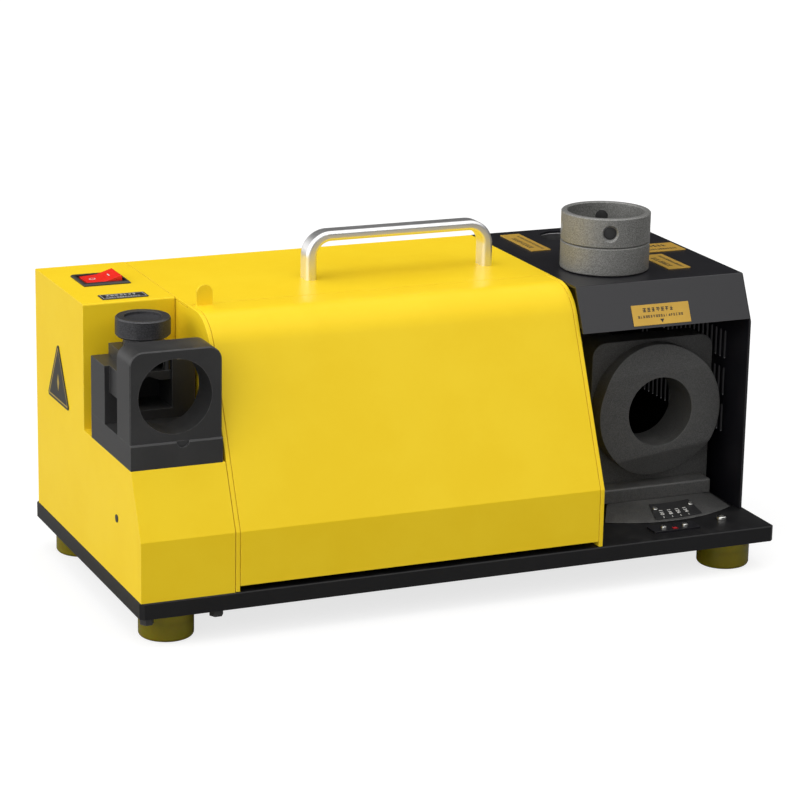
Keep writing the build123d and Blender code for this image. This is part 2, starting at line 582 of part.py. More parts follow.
def turned(points, place):
    """Solid turned about an upright axis from radius and height points."""
    face = make_face(Polyline(*points, close=True))
    return Pos(*place, 0) * revolve(Plane.XZ * face, Axis.Z, 360)


def make_chuck():
    z0 = TOP + 0.3
    z1 = z0 + RING_HEIGHT - 1.0
    z2 = z1 + 0.3
    z3 = z2 + RING_HEIGHT
    edge = 0.7
    nose_z = SEAT_LOW[0] - 5
    body = turned([(SEAT_LOW[1], nose_z), (NOSE_RADIUS - 1, nose_z), (NOSE_RADIUS, nose_z + 1),
                   (NOSE_RADIUS, z0), (CHUCK_RADIUS - edge, z0), (CHUCK_RADIUS, z0 + edge),
                   (CHUCK_RADIUS, z1 - edge), (CHUCK_RADIUS - edge, z1), (22.0, z1), (22.0, 176.7),
                   (SEAT_HIGH[1], 176.7), (SEAT_HIGH[1], SEAT_HIGH[0]), (SEAT_LOW[1], SEAT_LOW[0])], PORT)
    save("chuck_body", body)

    ring = turned([(14.0, 177.2), (21.94, 177.2), (21.94, z2), (CHUCK_RADIUS - edge, z2),
                   (CHUCK_RADIUS, z2 + edge), (CHUCK_RADIUS, z3 - edge), (CHUCK_RADIUS - edge, z3),
                   (26.6, z3), (26.2, z3 - 0.6), (26.2, z2 + 4.8), (14.0, z2 + 4.8)], PORT)
    for i in range(4):
        drill = Pos(*PORT, (z2 + z3) / 2) * Rot(0, 0, -111 + 90 * i)
        ring -= drill * Pos(28, 0, 0) * Rot(0, 90, 0) * Cylinder(4.4, 12)
        ring -= drill * Pos(CHUCK_RADIUS - 0.6, 0, 0) * Rot(0, 90, 0) * Cone(4.4, 6.2, 1.8)
    save("chuck_ring", ring)

    slim = 0.08
    collet = turned([(COLLET_RADIUS, SEAT_LOW[0] + 1), (SEAT_LOW[1] - slim, SEAT_LOW[0] + 1),
                     (SEAT_HIGH[1] - slim, SEAT_HIGH[0] + 1), (SEAT_HIGH[1] - slim, 176.4),
                     (COLLET_RADIUS, 176.4)], PORT)
    for i in range(8):
        slit = block(8, 24, -0.6, 0.6, SEAT_LOW[0], SEAT_HIGH[0] - 5)
        collet -= Pos(*PORT, 0) * Rot(0, 0, 22.5 + 45 * i) * slit
    save("collet", collet)


# --- motor and spindle ----------------------------------------------------------------------------
def ring_x(x0, x1, outer, inner):
    """Ring about the spindle axis."""
    hole = cross_bar(SPINDLE_Y, SPINDLE_Z, x0 - 1, x1 + 1, inner)
    return cross_bar(SPINDLE_Y, SPINDLE_Z, x0, x1, outer) - hole


def make_motor():
    save("motor_housing", ring_x(MOTOR_X0, MOTOR_X1, MOTOR_RADIUS, MOTOR_RADIUS - 4))
    save("stator_core", ring_x(MOTOR_X0 + 34, MOTOR_X1 - 34, MOTOR_RADIUS - 4, 32.0))
    save("rotor", ring_x(MOTOR_X0 + 34, MOTOR_X1 - 34, 31.0, SPINDLE_RADIUS))
    left = ring_x(MOTOR_X0 - 10, MOTOR_X0, MOTOR_RADIUS, 10.5)
    left += ring_x(MOTOR_X0 - 22, MOTOR_X0 - 10, 24, 10.5)
    left -= cross_bar(SPINDLE_Y, SPINDLE_Z, MOTOR_X0 - 14, MOTOR_X0 + 1, BEARING_RADIUS)
    right = ring_x(MOTOR_X1, MOTOR_X1 + 10, MOTOR_RADIUS, 10.5)
    right += ring_x(MOTOR_X1 + 10, MOTOR_X1 + 22, 24, 10.5)
    right -= cross_bar(SPINDLE_Y, SPINDLE_Z, MOTOR_X1 - 1, MOTOR_X1 + 14, BEARING_RADIUS)
    save("end_bells", group([left, right]))

    outers = []
    inners = []
    for x0 in (MOTOR_X0 - 14, MOTOR_X1 + 2):
        outers.append(ring_x(x0, x0 + 12, BEARING_RADIUS, 14.6))
        inners.append(ring_x(x0, x0 + 12, 12.0, SPINDLE_RADIUS))
    save("bearing_outer_rings", group(outers))
    save("bearing_inner_rings", group(inners))

    shaft = cross_bar(SPINDLE_Y, SPINDLE_Z, 21.0, 424.0, SPINDLE_RADIUS)
    shaft = chamfer(shaft.edges().filter_by(GeomType.CIRCLE), 1.0)
    save("spindle", shaft)

    thin = ring_x(27.5, 33.5, WHEEL_RADIUS, SPINDLE_RADIUS) + ring_x(33.5, 40, 16, SPINDLE_RADIUS)
    thin = chamfer(thin.edges().filter_by(GeomType.CIRCLE).sort_by(lambda e: -e.radius)[:2], 1.8)
    save("thinning_wheel", thin)
    rim_x0, rim_x1 = POINT_WHEEL_RIM
    cone_end = rim_x1 + (WHEEL_RADIUS - CONE_TIP) * math.tan(math.radians(CONE_ANGLE))
    outline = Polyline((rim_x0, 0), (rim_x0, WHEEL_RADIUS), (rim_x1, WHEEL_RADIUS), (cone_end, CONE_TIP),
                       (cone_end, 0), close=True)
    point = revolve(Plane.XY * make_face(outline), Axis.X, 360)
    point = Pos(0, SPINDLE_Y, SPINDLE_Z) * point - cross_bar(SPINDLE_Y, SPINDLE_Z, 340, 425, SPINDLE_RADIUS)
    save("point_wheel", point)
    nuts = []
    for x0 in (21.5, cone_end):
        nut = extrude(Plane.YZ.offset(x0) * Pos(SPINDLE_Y, SPINDLE_Z) * RegularPolygon(15, 6), 6)
        nuts.append(nut - cross_bar(SPINDLE_Y, SPINDLE_Z, x0 - 1, x0 + 7, SPINDLE_RADIUS))
    save("wheel_nuts", group(nuts))

    cradle = block(136, 268, 98, 206, 0, 30)
    cradle -= cross_bar(SPINDLE_Y, SPINDLE_Z, 100, 300, MOTOR_RADIUS)
    cradle -= block(160, 244, 90, 210, 5, 31)
    bolts = []
    for x, y in CRADLE_BOLTS:
        cradle -= post(x, y, -1, 40, 3.3)
        cradle -= post(x, y, 8, 40, 7.0)
        bolts.append(screw(x, y, 8, 5.0, 6, 2.95, 16))
    save("motor_cradle", cradle)
    save("cradle_bolts", group(bolts))
    save("capacitor", fillet(cross_bar(196, 140, 88, 118, 13).edges(), 1.0))


make_base()
make_left_casing()
make_middle_casing()
make_right_cover()
make_thinning_station()
make_point_station()
make_chuck()
make_motor()
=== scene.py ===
# %% [markdown]
# # A bench drill bit sharpener
# The machine is a folded sheet-metal box on a thick base plate. Two grinding wheels turn inside it, one for
# each station: the left one thins the web of a drill, the right one grinds its point. A collet chuck holds
# the drill and stands in a setting port in the top. The solid parts come from a CAD model; this lesson
# rounds their edges, adds the small fittings and prints, and gives each one its finish.

# %% Load the CAD frame
import json
import math
import random
import bmesh
import bpy
from mathutils import Matrix, Vector


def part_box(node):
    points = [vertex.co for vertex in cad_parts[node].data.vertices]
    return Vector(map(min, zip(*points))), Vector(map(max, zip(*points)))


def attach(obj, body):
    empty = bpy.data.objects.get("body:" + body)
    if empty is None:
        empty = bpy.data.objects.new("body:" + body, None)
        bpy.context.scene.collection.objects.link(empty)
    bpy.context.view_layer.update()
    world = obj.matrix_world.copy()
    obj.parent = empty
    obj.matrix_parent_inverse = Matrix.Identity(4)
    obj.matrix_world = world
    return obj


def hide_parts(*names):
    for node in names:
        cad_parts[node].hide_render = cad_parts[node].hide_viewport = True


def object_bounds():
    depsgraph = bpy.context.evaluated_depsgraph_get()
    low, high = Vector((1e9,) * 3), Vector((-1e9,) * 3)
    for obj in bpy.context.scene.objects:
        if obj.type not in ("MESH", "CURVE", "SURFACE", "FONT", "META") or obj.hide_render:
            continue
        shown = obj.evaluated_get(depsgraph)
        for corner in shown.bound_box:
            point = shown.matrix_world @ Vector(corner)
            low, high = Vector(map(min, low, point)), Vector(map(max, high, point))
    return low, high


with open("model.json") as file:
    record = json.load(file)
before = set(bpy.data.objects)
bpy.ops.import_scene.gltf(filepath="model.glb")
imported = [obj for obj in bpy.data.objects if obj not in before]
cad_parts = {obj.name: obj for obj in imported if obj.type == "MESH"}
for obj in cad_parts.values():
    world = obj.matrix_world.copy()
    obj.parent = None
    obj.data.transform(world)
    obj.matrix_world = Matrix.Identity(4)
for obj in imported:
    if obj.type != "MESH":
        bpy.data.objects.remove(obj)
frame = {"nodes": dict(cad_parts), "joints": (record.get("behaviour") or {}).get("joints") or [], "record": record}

cad_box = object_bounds()
MM = 0.001
nodes = frame["nodes"]
record = frame["record"]
slot_of = {part["node"]: part["material_slot"] for part in record["subparts"]}
body_of = {node: body for body, members in record["behaviour"]["bodies"].items() for node in members}
joint_of = {joint["name"]: joint for joint in frame["joints"]}

# %% [markdown]
# ## The camera
# The machine is seen from its front left corner, a little from above, through a long lens, so its edges
# stay almost parallel. A camera looks down its own -Z axis. Its matrix is built from three angles: the
# heading, the pitch and a slight roll. Typing the matrix's axes in this order shows where each one goes.

# %% Camera
CAMERA_PLACE = Vector((-0.76988, -1.75156, 0.65496))
HEADING, PITCH, ROLL = (math.radians(angle) for angle in (23.62, 15.89, 1.09))
LENS = 133.16

forward = Vector((math.sin(HEADING) * math.cos(PITCH), math.cos(HEADING) * math.cos(PITCH), -math.sin(PITCH)))
level_right = Vector((math.cos(HEADING), -math.sin(HEADING), 0))
level_up = level_right.cross(forward)
right = level_right * math.cos(ROLL) + level_up * math.sin(ROLL)
up = right.cross(forward)
turn = Matrix((right, up, -forward)).transposed()

camera = bpy.data.objects.new("camera", bpy.data.cameras.new("camera"))
camera.data.lens = LENS
camera.matrix_world = Matrix.Translation(CAMERA_PLACE) @ turn.to_4x4()
bpy.context.scene.collection.objects.link(camera)
bpy.context.scene.camera = camera
print("camera", tuple(round(value, 3) for value in camera.location))

# %% [markdown]
# ## The studio
# A catalogue picture of a shiny machine is mostly a picture of its surroundings. The world here is a soft
# dome: bright overhead and on the left, nearly dark round the horizon. The left side and the top glow, the
# front falls into shade, and a black top that mirrors the horizon stays black while a slope that mirrors
# the dome turns grey. The dome reads only the direction of a ray, so it costs nothing. Three large area
# lights add a little direction.

# %% World
bpy.context.scene.view_settings.view_transform = "Standard"
world = bpy.data.worlds.new("studio")
bpy.context.scene.world = world
world.use_nodes = True
sky = world.node_tree
sky.nodes.clear()


def add(tree, kind, **settings):
    """One shader node, with its settings."""
    node = tree.nodes.new(kind)
    for name, value in settings.items():
        setattr(node, name, value)
    return node


def math_node(tree, operation, first, second, clamp=False):
    """A Math node; each input is a number or another node's output."""
    node = add(tree, "ShaderNodeMath", operation=operation, use_clamp=clamp)
    for socket, value in zip(node.inputs, (first, second)):
        if isinstance(value, (int, float)):
            socket.default_value = value
        else:
            tree.links.new(value, socket)
    return node.outputs[0]


def ramp_range(tree, value, low, high, to_low, to_high):
    """Maps a value from one range to another with soft ends, clamped."""
    node = add(tree, "ShaderNodeMapRange", interpolation_type="SMOOTHSTEP")
    tree.links.new(value, node.inputs["Value"])
    for name, number in (("From Min", low), ("From Max", high), ("To Min", to_low), ("To Max", to_high)):
        node.inputs[name].default_value = number
    return node.outputs["Result"]


BACK_TILT = 0.40
OVERHEAD_GLOW = {"low": 0.28, "high": 0.50, "to_low": 0.0, "to_high": 1.12}
LEFT_GLOW = {"low": -0.15, "high": -0.60, "to_low": 0.0, "to_high": 1.56}
FAINT_GLOW = 0.02

direction = add(sky, "ShaderNodeTexCoord")
axes = add(sky, "ShaderNodeSeparateXYZ")
sky.links.new(direction.outputs["Generated"], axes.inputs[0])
behind = math_node(sky, "MULTIPLY", math_node(sky, "MAXIMUM", axes.outputs["Y"], 0.0), BACK_TILT)
raised = math_node(sky, "SUBTRACT", axes.outputs["Z"], behind)
overhead = ramp_range(sky, raised, **OVERHEAD_GLOW)
from_left = ramp_range(sky, axes.outputs["X"], **LEFT_GLOW)
total = math_node(sky, "MAXIMUM", overhead, from_left)
total = math_node(sky, "ADD", total, FAINT_GLOW)
background = add(sky, "ShaderNodeBackground")
background.inputs["Color"].default_value = (1.0, 0.995, 0.985, 1)
sky.links.new(total, background.inputs["Strength"])
finish_line = add(sky, "ShaderNodeOutputWorld")
sky.links.new(background.outputs[0], finish_line.inputs["Surface"])
print("world gradient made")

# %% Area lights
low_corner, high_corner = cad_box
middle = (low_corner + high_corner) / 2


def soft_light(name, place, aim, width, height, power):
    """A rectangular area light that faces a point."""
    light = bpy.data.lights.new(name, "AREA")
    light.shape = "RECTANGLE"
    light.size = width
    light.size_y = height
    light.energy = power
    lamp = bpy.data.objects.new(name, light)
    lamp.location = place
    lamp.rotation_euler = (Vector(aim) - Vector(place)).to_track_quat("-Z", "Y").to_euler()
    bpy.context.scene.collection.objects.link(lamp)


soft_light("overhead_softbox", (0.0, -0.25, 1.5), middle, width=1.4, height=0.9, power=3.0)
soft_light("left_softbox", (-1.7, -0.2, 0.7), middle, width=1.2, height=1.0, power=3.5)
soft_light("front_softbox", (0.85, -1.75, 1.25), middle, width=0.9, height=0.7, power=2.0)
print("three lights")

# %% [markdown]
# ## The table
# The machine stands on a plain pale surface. One large face is enough, a hair below the feet. A white table
# would throw much light up at the front, so this one is grey to the machine and glows a little for the camera
# alone, which the Light Path node tells apart.

# %% Floor
FLOOR_HALF = 9.0
FLOOR_GAP = 0.05 * MM
FLOOR_GREY = 0.31
FLOOR_GLOW = 0.75
floor_mesh = bpy.data.meshes.new("floor")
floor_shape = bmesh.new()
bmesh.ops.create_grid(floor_shape, x_segments=1, y_segments=1, size=FLOOR_HALF)
bmesh.ops.translate(floor_shape, verts=floor_shape.verts, vec=(0, 0, low_corner.z - FLOOR_GAP))
floor_shape.to_mesh(floor_mesh)
floor_shape.free()
floor = bpy.data.objects.new("floor", floor_mesh)
bpy.context.scene.collection.objects.link(floor)
floor_finish = bpy.data.materials.new("pale_table")
floor_finish.use_nodes = True
floor_shader = floor_finish.node_tree.nodes["Principled BSDF"]
floor_shader.inputs["Base Color"].default_value = (FLOOR_GREY, FLOOR_GREY, FLOOR_GREY, 1)
floor_shader.inputs["Roughness"].default_value = 0.8
floor_shader.inputs["Specular IOR Level"].default_value = 0.2
floor_shader.inputs["Emission Color"].default_value = (1, 1, 1, 1)
ray_kind = add(floor_finish.node_tree, "ShaderNodeLightPath")
glow = math_node(floor_finish.node_tree, "MULTIPLY", ray_kind.outputs["Is Camera Ray"], FLOOR_GLOW)
floor_finish.node_tree.links.new(glow, floor_shader.inputs["Emission Strength"])
floor_mesh.materials.append(floor_finish)
print("floor at", round(low_corner.z, 4))

# %% [markdown]
# ## Shared effects
# Several finishes need the same few effects: worn edges with a painted edge highlight, fine grain, the
# smudges of handling, brushed lines and a little dust. Each one is a shader node group with named inputs,
# built once. A group gives back only a mask or a height, and each finish decides what to do with it.

# %% Group helper
def new_group(title, inputs, outputs):
    """An empty shader node group with number inputs and outputs."""
    tree = bpy.data.node_groups.new(title, "ShaderNodeTree")
    for name, value in inputs.items():
        socket = tree.interface.new_socket(name=name, in_out="INPUT", socket_type="NodeSocketFloat")
        socket.default_value = value
    for name in outputs:
        tree.interface.new_socket(name=name, in_out="OUTPUT", socket_type="NodeSocketFloat")
    return tree, add(tree, "NodeGroupInput"), add(tree, "NodeGroupOutput")


def noise(tree, vector, scale, detail=2.0, rough=0.5):
    """A noise texture on a vector; the scale is a number or an output."""
    node = add(tree, "ShaderNodeTexNoise")
    node.inputs["Detail"].default_value = detail
    node.inputs["Roughness"].default_value = rough
    tree.links.new(vector, node.inputs["Vector"])
    if isinstance(scale, (int, float)):
        node.inputs["Scale"].default_value = scale
    else:
        tree.links.new(scale, node.inputs["Scale"])
    return node.outputs["Fac"]


# %% [markdown]
# ### Worn and highlit edges
# The Bevel node returns the normal that a rounded edge would have. Where it differs from the true normal
# there is an edge, and a coarse noise breaks the line up, because wearing is never even. The mask lightens
# edges for two causes. On the black and steel finishes it marks real wearing to bare metal. On the
# yellow paint, the gold plates and the aluminium handle, whose edge colour is only a brighter tone of their
# own, it is a painted highlight.

# %% Worn and highlit edges
worn_and_highlit_edges, start, end = new_group(
    "worn_and_highlit_edges", {"Radius": 0.8 * MM, "Amount": 1.0, "Breakup": 300.0}, ["Mask"])
rounded = add(worn_and_highlit_edges, "ShaderNodeBevel", samples=4)
worn_and_highlit_edges.links.new(start.outputs["Radius"], rounded.inputs["Radius"])
surface = add(worn_and_highlit_edges, "ShaderNodeNewGeometry")
compare = add(worn_and_highlit_edges, "ShaderNodeVectorMath", operation="DOT_PRODUCT")
worn_and_highlit_edges.links.new(rounded.outputs[0], compare.inputs[0])
worn_and_highlit_edges.links.new(surface.outputs["Normal"], compare.inputs[1])
edge = ramp_range(worn_and_highlit_edges, compare.outputs["Value"], 0.995, 0.86, 0.0, 1.0)
place = add(worn_and_highlit_edges, "ShaderNodeTexCoord")
breakup = noise(worn_and_highlit_edges, place.outputs["Object"], start.outputs["Breakup"], 3.0)
breakup = ramp_range(worn_and_highlit_edges, breakup, 0.3, 0.62, 0.25, 1.0)
mask = math_node(worn_and_highlit_edges, "MULTIPLY", edge, breakup)
mask = math_node(worn_and_highlit_edges, "MULTIPLY", mask, start.outputs["Amount"], clamp=True)
worn_and_highlit_edges.links.new(mask, end.inputs["Mask"])
print("group", worn_and_highlit_edges.name)

# %% [markdown]
# ### Fine grain
# Powder coat, cast iron and moulded plastic all have a skin of tiny bumps. Two noises, one four times finer,
# give a height that a Bump node can use, and the same value can speckle the colour.

# %% Fine grain
fine_grain, start, end = new_group("fine_grain", {"Scale": 900.0, "Fine share": 0.4}, ["Height", "Speckle"])
place = add(fine_grain, "ShaderNodeTexCoord")
coarse = noise(fine_grain, place.outputs["Object"], start.outputs["Scale"], 2.0)
finer_scale = math_node(fine_grain, "MULTIPLY", start.outputs["Scale"], 4.0)
fine = noise(fine_grain, place.outputs["Object"], finer_scale, 2.0)
shared = math_node(fine_grain, "MULTIPLY", fine, start.outputs["Fine share"])
height = math_node(fine_grain, "ADD", coarse, shared)
fine_grain.links.new(height, end.inputs["Height"])
fine_grain.links.new(ramp_range(fine_grain, height, 0.56, 0.86, 0.0, 1.0), end.inputs["Speckle"])
print("group", fine_grain.name)

# %% [markdown]
# ### Handling marks
# Fingers, oil and cleaning leave large faint patches that are a little duller or shinier than the rest.

# %% Handling marks
handling, start, end = new_group(
    "handling_marks", {"Scale": 18.0, "Base": 0.4, "Spread": 0.1}, ["Roughness", "Patch"])
place = add(handling, "ShaderNodeTexCoord")
patch = noise(handling, place.outputs["Object"], start.outputs["Scale"], 5.0, 0.62)
centred = math_node(handling, "SUBTRACT", patch, 0.5)
spread = math_node(handling, "MULTIPLY", centred, start.outputs["Spread"])
marked = math_node(handling, "ADD", spread, start.outputs["Base"], clamp=True)
handling.links.new(marked, end.inputs["Roughness"])
handling.links.new(ramp_range(handling, patch, 0.35, 0.65, 0.0, 1.0), end.inputs["Patch"])
print("group", handling.name)

# %% [markdown]
# ### Brushed lines
# Brushed metal is noise stretched very long in one direction. A Vector Math node squeezes the coordinates,
# so the same noise becomes lines along X.

# %% Brushed lines
brushed, start, end = new_group("brushed_lines", {"Across": 2500.0, "Along": 12.0}, ["Lines"])
place = add(brushed, "ShaderNodeTexCoord")
squeeze = add(brushed, "ShaderNodeCombineXYZ")
brushed.links.new(start.outputs["Along"], squeeze.inputs["X"])
brushed.links.new(start.outputs["Across"], squeeze.inputs["Y"])
brushed.links.new(start.outputs["Across"], squeeze.inputs["Z"])
stretched = add(brushed, "ShaderNodeVectorMath", operation="MULTIPLY")
brushed.links.new(place.outputs["Object"], stretched.inputs[0])
brushed.links.new(squeeze.outputs[0], stretched.inputs[1])
brushed.links.new(noise(brushed, stretched.outputs[0], 1.0, 3.0), end.inputs["Lines"])
print("group", brushed.name)

# %% [markdown]
# ### Settled dust
# Grinding dust settles on faces that look up. The normal's Z picks them and a noise thins it out.

# %% Settled dust
dust, start, end = new_group("settled_dust", {"Amount": 0.3, "Scale": 60.0}, ["Mask"])
surface = add(dust, "ShaderNodeNewGeometry")
facing = add(dust, "ShaderNodeSeparateXYZ")
dust.links.new(surface.outputs["Normal"], facing.inputs[0])
upward = ramp_range(dust, facing.outputs["Z"], 0.6, 1.0, 0.0, 1.0)
place = add(dust, "ShaderNodeTexCoord")
thinning = noise(dust, place.outputs["Object"], start.outputs["Scale"], 6.0, 0.7)
thinned = ramp_range(dust, thinning, 0.42, 0.75, 0.0, 1.0)
lying = math_node(dust, "MULTIPLY", upward, thinned)
dust.links.new(math_node(dust, "MULTIPLY", lying, start.outputs["Amount"], clamp=True), end.inputs["Mask"])
print("group", dust.name)

# %% [markdown]
# ## The finishes
# Every finish is one Principled shader. The helper below lays down what most of them share: a base colour
# with a slightly different second colour in patches, edges lightened for wearing and for a painted highlight,
# dust, a rough base value with handling marks, and a bump from the grain. What is special to a finish is set
# on the shader afterwards. Values that are the same all over the surface are typed on the shader's own sockets.

# %% Finish helper
def placed(tree, group, **values):
    """A group node with some of its inputs set; spaces in input names are written as underscores."""
    node = add(tree, "ShaderNodeGroup", node_tree=group)
    for name, value in values.items():
        node.inputs[name.replace("_", " ")].default_value = value
    return node


def mix_inputs(node):
    """The colour mix's factor and its two colours, which share their names with other types of mix."""
    colours = [socket for socket in node.inputs if socket.type == "RGBA"]
    return node.inputs[0], colours[0], colours[1]


def mixed(tree, factor, first, second):
    """A colour mix by a mask; each colour is a tuple or an output."""
    node = add(tree, "ShaderNodeMix", data_type="RGBA")
    for socket, value in zip(mix_inputs(node), (factor, first, second)):
        if isinstance(value, tuple):
            socket.default_value = (*value, 1)
        else:
            tree.links.new(value, socket)
    return [socket for socket in node.outputs if socket.type == "RGBA"][0]


DUST_GREY = (0.42, 0.41, 0.39)


def finish(name, colour, second, rough, spread=0.12, grain=900.0, bump=0.1, depth=0.05,
           edge=None, edge_amount=0.0, edge_radius=0.8, dusty=0.0, speck=None, **sockets):
    """A finish with patches, grain, specks, worn and painted-highlight edges and dust. Constants in sockets go on
    the shader.
    """
    material = bpy.data.materials.new(name)
    material.use_nodes = True
    tree = material.node_tree
    shader = tree.nodes["Principled BSDF"]
    marks = placed(tree, handling, Base=rough, Spread=spread)
    tree.links.new(marks.outputs["Roughness"], shader.inputs["Roughness"])
    skin = placed(tree, fine_grain, Scale=grain)
    tint = mixed(tree, marks.outputs["Patch"], colour, second)
    if speck is not None:
        tint = mixed(tree, skin.outputs["Speckle"], tint, speck)
    if edge is not None:
        # Edges are lightened for wearing, and also as a painted highlight where the edge colour is a brighter tone
        # of the base.
        edge_wear_and_highlight = placed(tree, worn_and_highlit_edges, Radius=edge_radius * MM, Amount=edge_amount)
        tint = mixed(tree, edge_wear_and_highlight.outputs["Mask"], tint, edge)
    if dusty:
        lying = placed(tree, dust, Amount=dusty)
        tint = mixed(tree, lying.outputs["Mask"], tint, DUST_GREY)
    tree.links.new(tint, shader.inputs["Base Color"])
    relief = add(tree, "ShaderNodeBump")
    relief.inputs["Strength"].default_value = bump
    relief.inputs["Distance"].default_value = depth * MM
    tree.links.new(skin.outputs["Height"], relief.inputs["Height"])
    tree.links.new(relief.outputs["Normal"], shader.inputs["Normal"])
    for socket, value in sockets.items():
        shader.inputs[socket.replace("_", " ")].default_value = value
    return material


finishes = {}

# %% [markdown]
# ### Sheet-metal paints
# The casing's yellow is a smooth gloss coat with a faint orange peel. The black of the base and the right
# cover is a satin coat with a fine sand texture, which is why it looks grey where it faces a light.

# %% Sheet-metal paints
# The brighter yellow given to the edges is a painted highlight.
finishes["yellow_paint"] = finish(
    "yellow_gloss_coat", (0.93, 0.655, 0.022), (0.91, 0.630, 0.018), 0.32, spread=0.08, grain=420.0, bump=0.08,
    edge=(0.98, 0.78, 0.12), edge_amount=0.45, Specular_IOR_Level=0.10)
finishes["black_paint"] = finish(
    "black_satin_coat", (0.0065, 0.0062, 0.009), (0.0085, 0.0082, 0.011), 0.32, spread=0.06, grain=1500.0,
    bump=0.22, edge=(0.05, 0.05, 0.052), edge_amount=0.5, edge_radius=0.5, dusty=0.01, Specular_IOR_Level=0.50)
base_coat = finish(
    "base_satin_coat", (0.007, 0.007, 0.008), (0.009, 0.009, 0.010), 0.40, spread=0.10, grain=1500.0, bump=0.22,
    edge=(0.05, 0.05, 0.052), edge_amount=0.6, edge_radius=0.5, dusty=0.03, Specular_IOR_Level=0.28)
print("paints", sorted(finishes))

# %% [markdown]
# ### Machined steel and iron
# The left station is blackened steel: satin, with the edges rubbed to a lighter grey. The right one has the
# same black painted lighter, as painted light against the shade of its deep bay, and finely speckled. The knob
# is anodised, and the chuck is blasted steel.

# %% Machined steel and iron
finishes["black_oxide"] = finish(
    "blackened_steel", (0.026, 0.026, 0.027), (0.034, 0.034, 0.035), 0.42, spread=0.16, grain=1300.0, bump=0.22,
    edge=(0.15, 0.15, 0.152), edge_amount=0.7, edge_radius=0.6, dusty=0.05, Metallic=0.15,
    Specular_IOR_Level=0.5)
# The right station's black, painted lighter to make up for the shade of its bay.
station_black_painted_lighter = finish(
    "station_black_with_painted_light", (0.050, 0.050, 0.050), (0.064, 0.064, 0.063), 0.45, spread=0.16, grain=1600.0, bump=0.35,
    depth=0.08, edge=(0.17, 0.17, 0.17), edge_amount=0.6, edge_radius=0.6, dusty=0.12,
    speck=(0.090, 0.090, 0.089), Metallic=0.15, Specular_IOR_Level=0.5)
finishes["knob_black"] = finish(
    "anodised_black", (0.018, 0.018, 0.021), (0.026, 0.026, 0.029), 0.36, grain=1500.0, bump=0.5, depth=0.1,
    edge=(0.13, 0.13, 0.135), edge_amount=0.7, edge_radius=0.5, speck=(0.06, 0.06, 0.065), Metallic=0.2)
finishes["chuck_steel"] = finish(
    "blasted_chuck_steel", (0.135, 0.135, 0.128), (0.175, 0.175, 0.168), 0.50, spread=0.15, grain=1500.0,
    bump=0.7, depth=0.14, edge=(0.48, 0.48, 0.47), edge_amount=0.75, edge_radius=0.6,
    speck=(0.29, 0.29, 0.28), Metallic=0.55)
finishes["zinc_steel"] = finish(
    "bright_zinc", (0.66, 0.66, 0.64), (0.58, 0.58, 0.56), 0.26, grain=2200.0, bump=0.08,
    edge=(0.85, 0.85, 0.84), edge_amount=0.4, edge_radius=0.3, Metallic=1.0)
finishes["ground_steel"] = finish(
    "ground_steel", (0.42, 0.42, 0.43), (0.48, 0.48, 0.49), 0.30, grain=2000.0, bump=0.12, Metallic=1.0)
finishes["motor_iron"] = finish(
    "painted_motor_iron", (0.11, 0.12, 0.13), (0.15, 0.16, 0.17), 0.55, grain=700.0, bump=0.35, depth=0.1,
    dusty=0.3, Specular_IOR_Level=0.4)
print("metals", len(finishes))

# %% [markdown]
# ### Plastics and rubber
# The feet are cast amber polyurethane. A lighter amber is mixed in over their upper part: painted light for
# the glow of light that enters past the base.

# %% Plastics and rubber
finishes["black_plastic"] = finish(
    "switch_black_plastic", (0.018, 0.018, 0.019), (0.024, 0.024, 0.025), 0.38, grain=1800.0, bump=0.15,
    edge=(0.07, 0.07, 0.07), edge_amount=0.6, edge_radius=0.5, Specular_IOR_Level=0.5)
finishes["red_plastic"] = finish(
    "rocker_red", (0.78, 0.020, 0.014), (0.84, 0.030, 0.018), 0.26, spread=0.08, grain=600.0, bump=0.05,
    Specular_IOR_Level=0.3, Subsurface_Weight=0.2, Subsurface_Scale=0.003)
finishes["polyurethane"] = finish(
    "amber_polyurethane", (0.27, 0.225, 0.006), (0.21, 0.17, 0.005), 0.22, spread=0.12, grain=260.0, bump=0.12,
    depth=0.2, Transmission_Weight=0.30, IOR=1.49, Subsurface_Weight=0.25, Subsurface_Scale=0.006,
    Specular_IOR_Level=0.25)
tree = finishes["polyurethane"].node_tree
shader = tree.nodes["Principled BSDF"]
foot_place = add(tree, "ShaderNodeTexCoord")
foot_axes = add(tree, "ShaderNodeSeparateXYZ")
tree.links.new(foot_place.outputs["Object"], foot_axes.inputs[0])
foot_low, foot_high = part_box("feet")
# Painted light: a lighter amber over the upper part of the feet, for the glow of light entering past the base.
PAINTED_GLOW_FROM = 0.55
PAINTED_GLOW_SHARE = 0.75
painted_glow_height = foot_low.z + PAINTED_GLOW_FROM * (foot_high.z - foot_low.z)
painted_glow_share = ramp_range(tree, foot_axes.outputs["Z"], painted_glow_height, foot_high.z, 0.0, PAINTED_GLOW_SHARE)
deep_amber = shader.inputs["Base Color"].links[0].from_socket
tree.links.new(mixed(tree, painted_glow_share, deep_amber, (0.62, 0.52, 0.012)), shader.inputs["Base Color"])
finishes["red_mark"] = finish(
    "red_index_paint", (0.50, 0.012, 0.02), (0.42, 0.01, 0.016), 0.4, grain=1500.0, bump=0.1)
print("plastics done")

# %% [markdown]
# ### Plates and wheels
# The plates are thin and smooth with a fine grain, and the wheels are coarse grit with dust on it.

